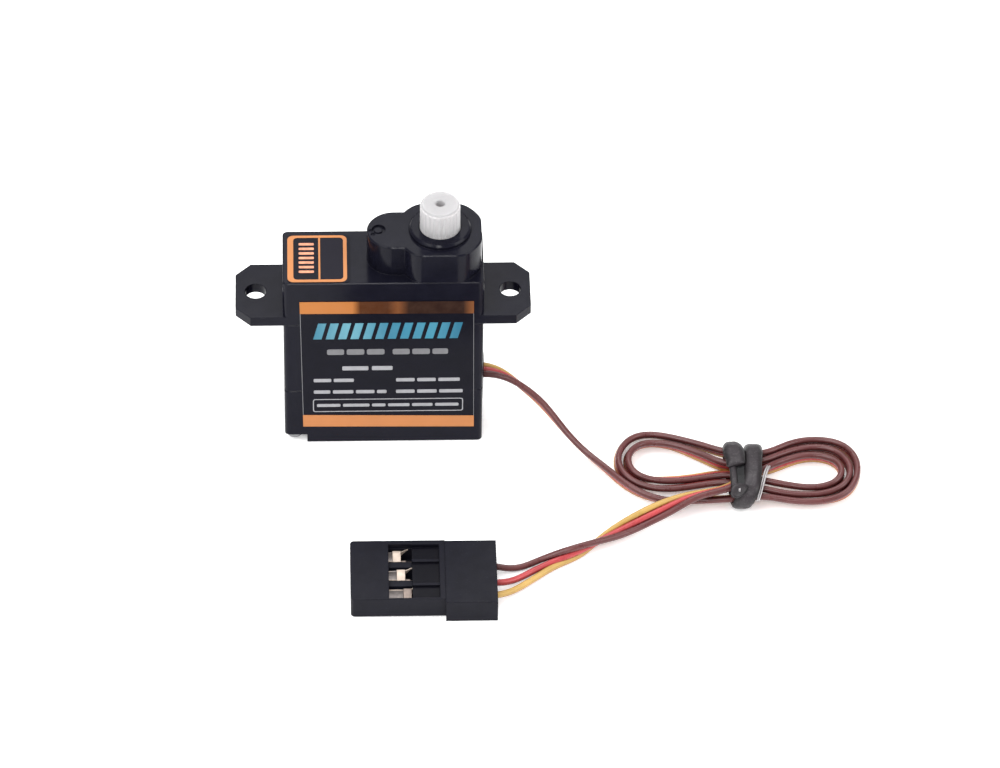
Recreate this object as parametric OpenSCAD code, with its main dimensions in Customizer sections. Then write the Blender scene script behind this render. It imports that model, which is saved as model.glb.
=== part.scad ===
// Sub-micro servo motor with bundled lead and 3-way plug.
// Frame: origin under the middle of the case, on its bottom face.
// +Z up along the output shaft, +X towards the output shaft, -Y is the label face.

/* [Case] */
// Case length along X
body_l = 19.8; // [19:0.1:21]
// Case depth along Y
body_w = 7.7; // [7.4:0.1:8.5]
// Height of the flat top of the case
body_h = 21.8; // [20:0.1:23]
// Radius of the upright case corners
corner_r = 0.5; // [0.2:0.1:1]
// Wall thickness of the cover and middle case
wall = 0.7; // [0.5:0.05:1]
// Wall thickness beside the gears
gear_wall = 0.4; // [0.35:0.05:0.6]
// Height of the seam between the bottom cover and the middle case
seam_z = 7.1; // [6:0.1:8]

/* [Mounting ears] */
// Height of the underside of the ears, and of the seam under the top cover
ear_z = 16.2; // [15:0.1:17]
// Ear thickness
ear_t = 1.1; // [1:0.1:1.6]
// Length over both ears
ear_span = 29.2; // [28:0.1:31]
// Distance between the two ear holes
hole_pitch = 25.2; // [24:0.1:26]
// Ear hole radius
hole_r = 1.05; // [0.9:0.05:1.2]
// Corner chamfer of the ears
ear_cut = 1.5; // [0.5:0.1:2]

/* [Output boss and shaft] */
// Output axis position along X
out_x = 5.6; // [5:0.05:6]
// Height of the boss above the case top
boss_h = 3.6; // [3:0.1:4]
// Radius of the boss lobe around the shaft
lobe_r = 4.4; // [4:0.05:4.6]
// Radius that softens the larger lobe's corners
lobe_fillet = 2; // [0.5:0.1:2.5]
// Position of the smaller lobe along X
lobe2_x = 1.05; // [0:0.05:1.5]
// Radius of the smaller lobe
lobe2_r = 2.65; // [2.4:0.05:2.8]
// Radius of the raised collar
collar_r = 3.05; // [2.8:0.05:3.3]
// Height of the raised collar
collar_h = 0.5; // [0.3:0.05:0.8]
// Outer radius of the output spline
spline_r = 1.98; // [1.8:0.01:2.05]
// Number of spline teeth
spline_n = 25; // [15:1:25]
// Height of the output shaft above the collar
shaft_up = 2.95; // [2.4:0.05:3.4]
// Radius of the horn screw pilot hole
pilot_r = 0.5; // [0.4:0.05:0.6]

/* [Gear train] */
// Distance between gear axes
gear_c = 4.05; // [4.05:0.01:4.05]
// Module of the first two stages
mod_a = 0.15; // [0.15:0.01:0.15]
// Module of the last two stages
mod_b = 0.18; // [0.18:0.01:0.18]
// Teeth of the small gear in the first two stages
z_a1 = 12; // [12:1:12]
// Teeth of the large gear in the first two stages
z_a2 = 42; // [42:1:42]
// Teeth of the small gear in the last two stages
z_b1 = 11; // [11:1:11]
// Teeth of the large gear in the last two stages
z_b2 = 34; // [34:1:34]
// Backlash on the pitch circle
backlash = 0.025; // [0.02:0.005:0.05]
// Radius of the fixed gear axle
axle_r = 0.4; // [0.3:0.05:0.5]

/* [Motor] */
// Outer radius of the motor can
can_r = 3.0; // [2.8:0.05:3.1]
// Top of the motor can
can_top = 15.35; // [15:0.05:15.35]
// Radius of the motor shaft
mshaft_r = 0.4; // [0.3:0.05:0.5]

/* [Potentiometer] */
// Outer radius of the potentiometer
pot_r = 2.9; // [2.5:0.1:3]
// Radius of the potentiometer shaft
pot_shaft_r = 0.42; // [0.4:0.01:0.45]

/* [Screws] */
// Screw distance from the middle along X
screw_x = 8.9; // [8.5:0.05:9]
// Screw distance from the middle along Y
screw_y = 2.7; // [2.5:0.05:2.8]
// Depth of the corner step that the screw head sits in
notch_h = 1.1; // [0.8:0.1:1.4]

/* [Lead and plug] */
// Diameter of one insulated wire
wire_d = 0.66; // [0.6:0.02:0.8]
// Height of the lead where it leaves the case
exit_z = 6.2; // [6:0.1:6.4]
// Plug length
plug_l = 14.35; // [13.5:0.05:15]
// Plug width at the front
plug_w = 8; // [7.5:0.1:8.2]
// Plug thickness
plug_t = 2.5; // [2.4:0.05:2.7]
// Distance between plug contacts
pitch = 2.54; // [2.54:0.01:2.54]

/* [Hidden] */
$fn = 48;
e = 0.01;
edge = 0.1;
half_l = body_l/2;
half_w = body_w/2;
boss_z = body_h + boss_h;
collar_z = boss_z + collar_h;
shaft_z = collar_z + shaft_up;
deck_z = ear_z - 0.8;
mid_x = out_x - gear_c;
motor_x = mid_x - gear_c;
screw_at = [[-screw_x, -screw_y], [screw_x, screw_y]];
plug_x = -3.55;
plug_y = -24.25;
row_z = 1.1;
case_col = [0.11, 0.11, 0.13];
// lead, first stretch: x, y, z of the middle wire, then the way the brown edge faces, then width
lead_in_route = [
  [9.9, 0, 6.2, 0, -1, 0, 1.98], [10.8, -0.1, 6.2, 0, -1, 0.1, 1.98], [11.7, -0.5, 6.1, 0, -1, 0.3, 1.98],
  [13.0, -1.0, 5.6, 0, -1, 0.7, 1.98], [14.2, -1.5, 4.9, 0, -1, 1, 1.98], [15.4, -2.1, 4.1, 0, -1, 1, 1.98],
  [16.5, -2.9, 3.3, 0, -1, 1, 1.98], [17.6, -4.0, 2.5, 0, -1, 1, 1.98], [18.8, -5.3, 1.8, 0, -1, 1, 1.98],
  [20.2, -6.8, 1.3, 0, -1, 1, 1.98], [21.6, -8.3, 1.1, 0, -1, 1, 1.98], [22.8, -9.6, 1.05, 0, -1, 1, 1.98],
  [23.9, -10.7, 1.05, 0, -1, 1, 1.98]];
// lead, last stretch, from the tie to the plug
lead_out_route = [
  [31.8, -14.4, 2.4, 0, -1, 0, 1.98], [30.6, -14.7, 2.3, 0, -1, -0.2, 1.98], [29.4, -15.1, 2.1, 0, -1, -0.2, 1.98],
  [28.1, -15.6, 1.6, 0, -1, -0.2, 1.98], [26.7, -16.1, 1.2, 0, -1, -0.2, 1.98], [25.2, -16.7, 0.9, 0, -1, -0.1, 1.98],
  [23.8, -17.4, 0.8, 0, -1, 0.1, 1.98], [22.3, -18.1, 0.9, 0, -0.9, 0.5, 1.98], [20.9, -18.9, 1.0, 0, -0.6, 0.8, 1.98],
  [19.8, -19.4, 1.12, 0, -0.3, 1, 1.98], [18.6, -20.0, 1.1, 0, 0.4, 1, 1.98], [17.3, -20.6, 0.85, 0, 1, 0.5, 1.98],
  [15.9, -21.4, 0.5, 0, 1, 0.1, 1.98], [14.4, -22.2, 0.4, 0, 1, 0, 2.4], [12.6, -23.2, 0.4, 0, 1, 0, 3.2],
  [10.8, -24.3, 0.6, 0, 1, 0, 4.2]];

// ---------- shared shapes ----------

// rectangle with round corners
module rrect(l, w, r) {
  square([l - 2*r, w], center = true);
  square([l, w - 2*r], center = true);
  for (sx = [-1, 1], sy = [-1, 1]) translate([sx*(l/2 - r), sy*(w/2 - r)]) circle(r = r);
}

// straight stretch of the case, with its edges broken
module case_block(z0, z1) {
  hull() {
    translate([0, 0, z0 + edge]) linear_extrude(z1 - z0 - 2*edge) rrect(body_l, body_w, corner_r);
    translate([0, 0, z0]) linear_extrude(z1 - z0) rrect(body_l - 2*edge, body_w - 2*edge, corner_r - edge);
  }
}

// corner post for a case screw
module post(z0, z1) {
  for (p = screw_at) translate([p[0], p[1], z0]) intersection() {
    cylinder(r = 0.85, h = z1 - z0);
    translate([-1.2, -1.2, 0]) cube([2.4, 2.4, z1 - z0]);
  }
}

module post_block(z0, z1) {
  for (p = screw_at) {
    s = sign(p[0]);
    translate([s > 0 ? p[0] : -half_l + 0.2, s > 0 ? p[1] - 0.85 : -half_w + 0.2, z0])
      cube([half_l - 0.2 - screw_x, half_w - 0.2 - screw_y + 0.85, z1 - z0]);
    translate([p[0] - 0.85, s > 0 ? p[1] : -half_w + 0.2, z0])
      cube([1.7, half_w - 0.2 - screw_y, z1 - z0]);
  }
}

module screw_holes(r, z0, z1) {
  for (p = screw_at) translate([p[0], p[1], z0]) cylinder(r = r, h = z1 - z0, $fn = 24);
}

// shallow outward bow of the end wall over the lead
module bow(z0, z1) {
  intersection() {
    translate([half_l + 0.2 - 27.3, 0, z0]) cylinder(r = 27.3, h = z1 - z0, $fn = 240);
    translate([half_l - 0.4, -3.3, z0]) cube([0.8, 6.6, z1 - z0]);
  }
}

// ---------- gears ----------

function inv(a) = tan(a)*180/PI - a;
function tooth_half(r, rp, rb, z) =
  90/z - backlash/(2*rp)*180/PI + inv(20) - inv(acos(min(1, rb/max(r, rb))));
function flank(m, z, add) =
  let (rp = m*z/2, rb = rp*cos(20), rf = rp - 1.25*m, ra = rp + add*m)
  rf < rb ? [rf, rb, (rb + ra)/2 - 0.1*m, ra] : [rf, rp, ra];
function gear_points(m, z, add, turn) =
  let (rp = m*z/2, rb = rp*cos(20), f = flank(m, z, add), n = len(f))
  [for (i = [0:z - 1]) let (a0 = turn + 360*i/z)
    for (k = [0:2*n - 1])
      let (r = k < n ? f[k] : f[2*n - 1 - k], h = tooth_half(r, rp, rb, z), a = a0 + (k < n ? -h : h))
      [r*cos(a), r*sin(a)]];

module gear(m, z, add, turn, z0, z1) {
  translate([0, 0, z0]) linear_extrude(z1 - z0) polygon(gear_points(m, z, add, turn));
}

// ---------- case ----------

// outline of the larger lobe, drawn in by c
module big_lobe(c) {
  offset(r = lobe_fillet - c, $fn = 64) offset(delta = -lobe_fillet) intersection() {
    translate([out_x, 0]) circle(r = lobe_r, $fn = 96);
    translate([-5, -half_w]) square([half_l - 0.2 + 5, body_w]);
  }
}

module top_cover() {
  color(case_col) difference() {
    union() {
      case_block(ear_z, body_h);
      // ears
      translate([0, 0, ear_z]) linear_extrude(ear_t) polygon([
        [-ear_span/2, -half_w + ear_cut], [-ear_span/2 + ear_cut, -half_w],
        [ear_span/2 - ear_cut, -half_w], [ear_span/2, -half_w + ear_cut],
        [ear_span/2, half_w - ear_cut], [ear_span/2 - ear_cut, half_w],
        [-ear_span/2 + ear_cut, half_w], [-ear_span/2, half_w - ear_cut]]);
      // two-lobed boss
      translate([0, 0, body_h - e]) {
        hull() {
          linear_extrude(boss_h + e - 0.12) big_lobe(0);
          linear_extrude(boss_h + e) big_lobe(0.12);
        }
        hull() for (x = [lobe2_x, 2.2]) translate([x, 0, 0]) {
          cylinder(r = lobe2_r, h = boss_h + e - 0.12, $fn = 72);
          cylinder(r = lobe2_r - 0.12, h = boss_h + e, $fn = 72);
        }
      }
      // collar with a broken edge
      translate([out_x, 0, boss_z - e]) rotate_extrude($fn = 72) polygon([[0, 0], [collar_r, 0],
        [collar_r, collar_h*0.6], [collar_r - 0.2, collar_h + e], [0, collar_h + e]]);
    }
    // gear room, with corner posts left standing
    difference() {
      translate([0, 0, ear_z - e]) linear_extrude(body_h - 0.7 - ear_z + e)
        rrect(body_l - 2*wall, body_w - 2*gear_wall, 0.3);
      post(ear_z - 1, body_h);
      post_block(ear_z - 1, body_h);
    }
    // rooms inside the boss
    translate([out_x, 0, body_h - 0.8]) intersection() {
      cylinder(r = lobe_r - 0.7, h = boss_h + 0.8 - 0.8, $fn = 72);
      translate([-5, -half_w + gear_wall, 0]) cube([10, body_w - 2*gear_wall, 10]);
    }
    translate([lobe2_x, 0, body_h - 0.8]) cylinder(r = lobe2_r - 0.65, h = boss_h - 0.6, $fn = 48);
    // output bearing and axle seat
    translate([out_x, 0, boss_z - 1]) cylinder(r = 2.05, h = 3, $fn = 72);
    translate([mid_x, 0, boss_z - 1.6]) cylinder(r = axle_r + 0.01, h = 0.9, $fn = 32);
    // ear holes
    for (s = [-1, 1]) translate([s*hole_pitch/2, 0, ear_z - 1]) cylinder(r = hole_r, h = 4, $fn = 48);
    // screw pilots
    screw_holes(0.42, ear_z - 1, 20.2);
    // moulding gate recess on the smaller lobe
    translate([-0.42, 0.08, boss_z - 0.25]) difference() {
      cylinder(r = 0.66, h = 1, $fn = 40);
      translate([-0.06, -0.02, -e]) cylinder(r = 0.4, h = 0.2, $fn = 24);
    }
    translate([-1.22, -0.1, boss_z - 0.15]) cylinder(r = 0.2, h = 1, $fn = 24);
    translate([-1.0, -0.62, boss_z - 0.15]) cylinder(r = 0.2, h = 1, $fn = 24);
  }
  // stops for the output gear
  color(case_col) for (s = [-1, 1]) difference() {
    translate([out_x, 0, 22.3]) intersection() {
      linear_extrude(2.3) polygon([[0, 0], for (a = [s*104, s*112, s*120]) [5*cos(a), 5*sin(a)]]);
      difference() {
        cylinder(r = lobe_r - 0.69, h = 2.3, $fn = 72);
        translate([0, 0, -1]) cylinder(r = 2.75, h = 5, $fn = 72);
      }
      translate([-5, -half_w + gear_wall - e, 0]) cube([10, body_w - 2*gear_wall + 2*e, 3]);
    }
    // the smaller lobe's room stays open
    translate([lobe2_x, 0, 20]) cylinder(r = lobe2_r - 0.65, h = 4.4, $fn = 48);
  }
}

module middle_case() {
  color(case_col) difference() {
    union() {
      difference() {
        union() {
          case_block(seam_z, ear_z);
          bow(seam_z, seam_z + 0.8);
        }
        // motor and potentiometer bays
        difference() {
          translate([0, 0, seam_z - e]) linear_extrude(deck_z - seam_z + e)
            rrect(body_l - 2*wall, body_w - 2*wall, 0.3);
          post(seam_z - 1, ear_z);
          post_block(seam_z - 1, ear_z);
          // ribs beside the motor
          translate([1.05, -4, 9]) cube([0.6, 8, 8]);
          translate([-6.3, -4, 9]) cube([0.6, 8, 8]);
        }
        // motor clearance through the ribs
        translate([motor_x, 0, seam_z - 1]) cylinder(r = can_r + 0.08, h = can_top + 0.05 - seam_z + 1, $fn = 72);
        // potentiometer seat
        translate([out_x, 0, seam_z - 1]) cylinder(r = pot_r + 0.08, h = can_top + 0.05 - seam_z + 1, $fn = 72);
      }
      // tongue that closes the lead slot
      translate([half_l - wall, -1.15, seam_z - 0.45]) cube([wall + 0.1, 2.3, 0.46]);
      // spacer under the idler gear
      translate([out_x, 0, ear_z - e]) cylinder(r = 0.7, h = 1.35 + e, $fn = 32);
    }
    translate([motor_x, 0, deck_z - 1]) cylinder(r = 0.93, h = 3, $fn = 40);
    translate([mid_x, 0, deck_z - 1]) cylinder(r = axle_r, h = 3, $fn = 32);
    translate([out_x, 0, deck_z - 1]) cylinder(r = pot_shaft_r + 0.04, h = 4, $fn = 32);
    screw_holes(0.5, seam_z - 1, ear_z + 1);
  }
}

module bottom_cover() {
  color(case_col) difference() {
    union() {
      difference() {
        union() {
          case_block(0, seam_z);
          bow(5.2, seam_z);
        }
        difference() {
          translate([0, 0, 0.8]) linear_extrude(seam_z) rrect(body_l - 2*wall, body_w - 2*wall, 0.3);
          post(0, seam_z);
          post_block(0, seam_z);
          // material over the screw head steps
          translate([-half_l, -half_w, 0]) cube([2.95, 2.95, notch_h + 0.8]);
          translate([half_l - 2.95, half_w - 2.95, 0]) cube([2.95, 2.95, notch_h + 0.8]);
          // ledges for the board
          for (x = [-5, 3]) for (s = [-1, 1]) translate([x, s*2.95 - 0.4, 0]) cube([1.2, 0.8, 2.98]);
        }
      }
    }
    // corner steps for the screw heads
    translate([-half_l - 1, -half_w - 1, -1]) cube([1 + 2.25, 1 + 2.35, 1 + notch_h]);
    translate([half_l - 2.25, half_w - 2.35, -1]) cube([1 + 2.25, 1 + 2.35, 1 + notch_h]);
    screw_holes(0.5, 0, seam_z + 1);
    // slot for the lead
    translate([half_l - wall - 1, -1.2, exit_z - 0.45]) cube([3, 2.4, 4]);
  }
}

module case_screws() {
  color([0.75, 0.75, 0.77]) for (p = screw_at) translate([p[0], p[1], 0]) difference() {
    union() {
      translate([0, 0, 0.12]) rotate_extrude($fn = 40)
        polygon([[0, 0], [0.45, 0.02], [0.66, 0.1], [0.77, 0.24], [0.8, 0.4], [0.8, notch_h - 0.12], [0, notch_h - 0.12]]);
      translate([0, 0, notch_h - e]) cylinder(r = 0.42, h = 19.6 - notch_h, $fn = 24);
    }
    for (a = [0, 90]) rotate([0, 0, a + 20]) translate([-0.42, -0.09, -1]) cube([0.84, 0.18, 1.5]);
  }
}

module front_label() {
  color([0.85, 0.5, 0.25]) translate([0, -half_w, 0]) rotate([90, 0, 0]) linear_extrude(0.05)
    polygon([[-8.04, 2.27], [9.06, 2.05], [8.9, 19.36], [-8.26, 19.44]]);
}

module top_label() {
  color([0.85, 0.5, 0.25]) translate([-6.32, -0.26, body_h]) linear_extrude(0.05) rrect(6.2, 6.9, 0.5);
}

// ---------- gear train ----------

module output_shaft() {
  color([0.93, 0.93, 0.9]) translate([out_x, 0, 0]) difference() {
    union() {
      gear(mod_b, z_b2, 0.85, 180/z_b2, 20.3, 21.9);
      translate([0, 0, 21.9 - e]) cylinder(r = 2.5, h = 2.45, $fn = 64);
      translate([0, 0, 24.3]) cylinder(r = 2.0, h = collar_z + 0.05 - 24.3, $fn = 64);
      // splined end with a plain nose
      translate([0, 0, collar_z - e]) linear_extrude(shaft_up - 0.3 + e) polygon([
        for (i = [0:spline_n - 1]) for (k = [0:3])
          let (a = 360*(i + [0.04, 0.3, 0.7, 0.96][k])/spline_n, r = (k == 1 || k == 2) ? spline_r : spline_r - 0.1)
          [r*cos(a), r*sin(a)]]);
      translate([0, 0, shaft_z - 0.3 - e]) rotate_extrude($fn = 64)
        polygon([[0, 0], [spline_r - 0.12, 0], [spline_r - 0.12, 0.2], [spline_r - 0.22, 0.3 + e], [0, 0.3 + e]]);
      // stop lug
      translate([0, 0, 22.4]) intersection() {
        linear_extrude(1.0) polygon([[0, 0], [4*cos(10), -4*sin(10)], [4*cos(10), 4*sin(10)]]);
        cylinder(r = 3.25, h = 1, $fn = 64);
      }
    }
    // horn screw pilot
    translate([0, 0, shaft_z - 3.5]) cylinder(r = pilot_r, h = 5, $fn = 32);
    // keyed socket for the potentiometer shaft
    translate([0, 0, 20.4]) intersection() {
      cylinder(r = pot_shaft_r + 0.02, h = 2, $fn = 32);
      translate([-1, -1, 0]) cube([2, 1 + 0.22, 3]);
    }
    translate([0, 0, 20]) cylinder(r = pot_shaft_r + 0.04, h = 0.6, $fn = 32);
  }
}

module gear_1() {
  color([0.93, 0.93, 0.9]) translate([mid_x, 0, 0]) difference() {
    union() {
      gear(mod_a, z_a2, 0.85, 180/z_a2, 16.5, 17.3);
      gear(mod_a, z_a1, 0.95, 0, 17.3 - e, 18.55);
    }
    translate([0, 0, 16]) cylinder(r = axle_r + 0.03, h = 4, $fn = 32);
  }
}

module gear_2() {
  color([0.9, 0.9, 0.88]) translate([out_x, 0, 0]) difference() {
    union() {
      gear(mod_a, z_a2, 0.85, 180/z_a2, 17.65, 18.45);
      gear(mod_b, z_b1, 0.95, 180, 18.45 - e, 19.95);
    }
    translate([0, 0, 17]) cylinder(r = pot_shaft_r + 0.04, h = 4, $fn = 32);
  }
}

module gear_3() {
  color([0.93, 0.93, 0.9]) translate([mid_x, 0, 0]) difference() {
    union() {
      gear(mod_b, z_b2, 0.85, 180/z_b2, 18.85, 19.75);
      gear(mod_b, z_b1, 0.95, 0, 19.75 - e, 22.1);
    }
    translate([0, 0, 18]) cylinder(r = axle_r + 0.03, h = 5, $fn = 32);
  }
}

module gear_axle() {
  color([0.75, 0.75, 0.77]) translate([mid_x, 0, deck_z + 0.1]) cylinder(r = axle_r, h = boss_z - 0.8 - deck_z - 0.1, $fn = 32);
}

// ---------- motor ----------

module motor_pinion() {
  color([0.8, 0.65, 0.3]) translate([motor_x, 0, 0]) difference() {
    gear(mod_a, z_a1, 0.95, 0, 16.4, 17.5);
    translate([0, 0, 16]) cylinder(r = mshaft_r, h = 3, $fn = 32);
  }
}

module motor_shaft() {
  color([0.75, 0.75, 0.77]) translate([motor_x, 0, 5.6]) cylinder(r = mshaft_r, h = 12.1, $fn = 32);
}

module motor_core() {
  color([0.45, 0.45, 0.48]) translate([motor_x, 0, 8]) difference() {
    cylinder(r = 1.95, h = 5.2, $fn = 64);
    translate([0, 0, -1]) cylinder(r = mshaft_r, h = 8, $fn = 32);
    for (a = [60, 180, 300]) rotate([0, 0, a]) {
      translate([1.25, 0, -1]) cylinder(r = 0.55, h = 8, $fn = 32);
      translate([1.25, -0.18, -1]) cube([1.5, 0.36, 8]);
    }
  }
}

module motor_windings() {
  color([0.72, 0.38, 0.18]) translate([motor_x, 0, 0]) {
    for (a = [60, 180, 300]) rotate([0, 0, a]) translate([1.25, 0, 7.9]) cylinder(r = 0.5, h = 5.4, $fn = 32);
    for (z = [7.62, 13.22]) translate([0, 0, z]) difference() {
      cylinder(r = 1.82, h = z < 10 ? 0.36 : 0.6, $fn = 48);
      translate([0, 0, -1]) cylinder(r = 0.66, h = 3, $fn = 32);
    }
  }
}

module commutator() {
  color([0.8, 0.55, 0.3]) translate([motor_x, 0, 6.9]) difference() {
    cylinder(r = 0.8, h = 0.7, $fn = 40);
    translate([0, 0, -1]) cylinder(r = mshaft_r, h = 3, $fn = 32);
    for (a = [0, 120, 240]) rotate([0, 0, a]) translate([0.62, -0.05, -1]) cube([0.5, 0.1, 3]);
  }
}

module motor_can() {
  color([0.72, 0.73, 0.75]) translate([motor_x, 0, 0]) difference() {
    union() {
      translate([0, 0, 5.6]) cylinder(r = can_r, h = can_top - 5.6, $fn = 72);
      translate([0, 0, can_top - e]) cylinder(r = 0.9, h = 0.55, $fn = 40);
    }
    translate([0, 0, 5]) cylinder(r = can_r - 0.25, h = can_top - 0.3 - 5, $fn = 72);
    translate([0, 0, 5]) cylinder(r = 0.65, h = 12, $fn = 32);
  }
}

module motor_magnets() {
  color([0.3, 0.3, 0.32]) translate([motor_x, 0, 8]) for (s = [0, 180]) rotate([0, 0, s]) intersection() {
    difference() {
      cylinder(r = can_r - 0.25, h = 5.4, $fn = 72);
      translate([0, 0, -1]) cylinder(r = 2.1, h = 8, $fn = 64);
    }
    linear_extrude(5.4) polygon([[0, 0], [5, -8], [9, -3], [9, 3], [5, 8]]);
  }
}

module motor_end_cap() {
  color([0.88, 0.88, 0.84]) translate([motor_x, 0, 0]) difference() {
    translate([0, 0, 5.3]) cylinder(r = can_r - 0.25, h = 1.5, $fn = 72);
    translate([0, 0, 5.55]) cylinder(r = 0.65, h = 3, $fn = 32);
    // slots for the terminals
    for (s = [-1, 1]) translate([-0.4, s*1.9 - 0.1, 5]) cube([0.8, 0.2, 1]);
  }
}

module motor_brushes() {
  color([0.78, 0.5, 0.25]) translate([motor_x, 0, 0]) for (s = [-1, 1])
    translate([s*0.91 - 0.06, -0.7, 6.8]) cube([0.12, 1.4, 0.7]);
}

module motor_terminals() {
  color([0.8, 0.72, 0.45]) translate([motor_x, 0, 0]) for (s = [-1, 1])
    translate([-0.4, s*1.9 - 0.1, 4.3]) cube([0.8, 0.2, 1.7]);
}

module motor_bushings() {
  color([0.7, 0.55, 0.32]) translate([motor_x, 0, 0]) for (z = [5.75, 15.05]) translate([0, 0, z]) difference() {
    cylinder(r = 0.65, h = 0.8, $fn = 32);
    translate([0, 0, -1]) cylinder(r = mshaft_r + 0.02, h = 3, $fn = 32);
  }
}

module motor_leads() {
  color([0.7, 0.1, 0.1]) for (s = [-1, 1]) translate([motor_x, s*1.9, 3.6]) cylinder(r = 0.25, h = 0.7, $fn = 20);
}

// ---------- potentiometer ----------

module pot_housing() {
  color([0.2, 0.2, 0.22]) translate([out_x, 0, 0]) difference() {
    translate([0, 0, 12.1]) cylinder(r = pot_r, h = 3.2, $fn = 72);
    translate([0, 0, 12]) cylinder(r = pot_r - 0.4, h = 2.9, $fn = 72);
    translate([0, 0, 12]) cylinder(r = pot_shaft_r + 0.03, h = 5, $fn = 32);
  }
}

module pot_track() {
  color([0.35, 0.22, 0.12]) translate([out_x, 0, 12.15]) difference() {
    union() {
      cylinder(r = pot_r - 0.4, h = 0.4, $fn = 72);
      translate([0, 0, 0.4 - e]) difference() {
        cylinder(r = 2.2, h = 0.08, $fn = 64);
        translate([0, 0, -1]) cylinder(r = 1.5, h = 3, $fn = 64);
        translate([0.5, -0.5, -1]) cube([3, 1, 3]);
      }
    }
    for (k = [-1, 0, 1]) translate([1.6, 1.6*k, -1]) cylinder(r = 0.2, h = 1.2, $fn = 20);
  }
}

module pot_wiper() {
  color([0.85, 0.7, 0.35]) translate([out_x, 0, 12.7]) difference() {
    union() {
      cylinder(r = 1.0, h = 0.5, $fn = 40);
      translate([-2.1, -0.35, 0]) cube([2, 0.7, 0.2]);
    }
    translate([0, 0, -1]) cylinder(r = pot_shaft_r, h = 3, $fn = 32);
  }
}

module pot_shaft() {
  color([0.9, 0.9, 0.88]) translate([out_x, 0, 12.7]) difference() {
    cylinder(r = pot_shaft_r, h = 22.3 - 12.7, $fn = 32);
    translate([-1, 0.2, 20.65 - 12.7]) cube([2, 2, 3]);
  }
}

module pot_terminals() {
  color([0.8, 0.8, 0.8]) for (k = [-1, 0, 1]) translate([out_x + 1.6, 1.6*k, 10.8]) cylinder(r = 0.2, h = 1.55, $fn = 20);
}

module pot_leads() {
  color([0.85, 0.85, 0.82]) for (k = [-1, 0, 1]) translate([out_x + 1.6, 1.6*k, 3.6]) cylinder(r = 0.25, h = 7.2, $fn = 20);
}

// ---------- electronics ----------

module control_board() {
  color([0.1, 0.35, 0.2]) translate([0, 0, 3]) linear_extrude(0.6) difference() {
    square([18.2, 6.0], center = true);
    for (p = screw_at) translate(p) square([2.2, 2.2], center = true);
  }
}

module controller_chip() {
  color([0.12, 0.12, 0.13]) translate([0.9, -1.6, 3.6]) cube([3.2, 3.2, 0.8]);
}

module driver_chips() {
  color([0.12, 0.12, 0.13]) for (x = [-6.6, -2.2]) translate([x, -1.5, 2.3]) cube([2.9, 1.7, 0.7]);
}

module board_capacitors() {
  color([0.7, 0.55, 0.38]) for (p = [[-8.6, 0.9], [-6.6, 0.9], [-6.6, -1.7]]) translate([p[0], p[1], 3.6]) cube([1.6, 0.8, 0.8]);
}

module board_resistors() {
  color([0.15, 0.15, 0.17]) for (x = [1.2, 3.0, 4.8, 6.4]) translate([x, -0.9, 2.65]) cube([1.0, 0.5, 0.35]);
}

// one wire end inside the case: up from the board, then out through the slot
module tail(y) {
  translate([8.3, y, 3.6]) cylinder(d = wire_d, h = exit_z - 3.6, $fn = 24);
  translate([8.3, y, exit_z]) sphere(d = wire_d, $fn = 24);
  translate([8.3, y, exit_z]) rotate([0, 90, 0]) cylinder(d = wire_d, h = half_l - 8.3, $fn = 24);
}

module tail_brown() { color([0.42, 0.27, 0.25]) tail(-wire_d); }
module tail_red() { color([0.75, 0.15, 0.15]) tail(0); }
module tail_orange() { color([0.95, 0.65, 0.2]) tail(wire_d); }

// ---------- lead ----------

function unit(v) = v/norm(v);
function way(r, i) = let (a = r[max(0, i - 1)], b = r[min(len(r) - 1, i + 1)])
  unit([b[0] - a[0], b[1] - a[1], b[2] - a[2]]);
// eight points of the flat section at ring i
function ring(r, i) =
  let (t = i == 0 || i == len(r) - 1 ? [sign(way(r, i)[0]), 0, 0] : way(r, i),
       d = [r[i][3], r[i][4], r[i][5]],
       w = unit(d - (d*t)*t), n = cross(t, w),
       hw = r[i][6]/2, ht = wire_d/2, c = [r[i][0], r[i][1], r[i][2]])
  [for (q = [[1, 0.45], [0.85, 1], [-0.85, 1], [-1, 0.45], [-1, -0.45], [-0.85, -1], [0.85, -1], [1, -0.45]])
    c + q[0]*hw*w + q[1]*ht*n];

module ribbon(r) {
  n = len(r);
  polyhedron(
    points = [for (i = [0:n - 1]) for (p = ring(r, i)) p],
    faces = concat([[for (k = [7:-1:0]) k]], [[for (k = [0:7]) (n - 1)*8 + k]],
      [for (i = [0:n - 2]) for (k = [0:7]) for (f = [0, 1])
        f == 0 ? [i*8 + k, i*8 + (k + 1)%8, (i + 1)*8 + (k + 1)%8]
               : [i*8 + k, (i + 1)*8 + (k + 1)%8, (i + 1)*8 + k]]));
}

module lead_in() { color([0.5, 0.3, 0.28]) ribbon(lead_in_route); }
module lead_out() { color([0.75, 0.3, 0.25]) ribbon(lead_out_route); }

// outer shape of the tied figure-of-eight bundle
module cable_hank() {
  color([0.45, 0.27, 0.25]) union() {
    linear_extrude(2.0) hull() {
      translate([27.6, -8.1]) circle(r = 4.7, $fn = 32);
      translate([32.6, -8.2]) circle(r = 1.9, $fn = 32);
      translate([32.6, -12.6]) circle(r = 1.9, $fn = 32);
    }
    linear_extrude(2.0) hull() {
      translate([42.6, -9.5]) circle(r = 5.1, $fn = 32);
      translate([39.2, -8.4]) circle(r = 1.7, $fn = 32);
      translate([39.2, -12.4]) circle(r = 1.7, $fn = 32);
    }
    translate([31.8, -14.3, 0.5]) cube([7, 7.7, 2.1]);
  }
}

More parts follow.
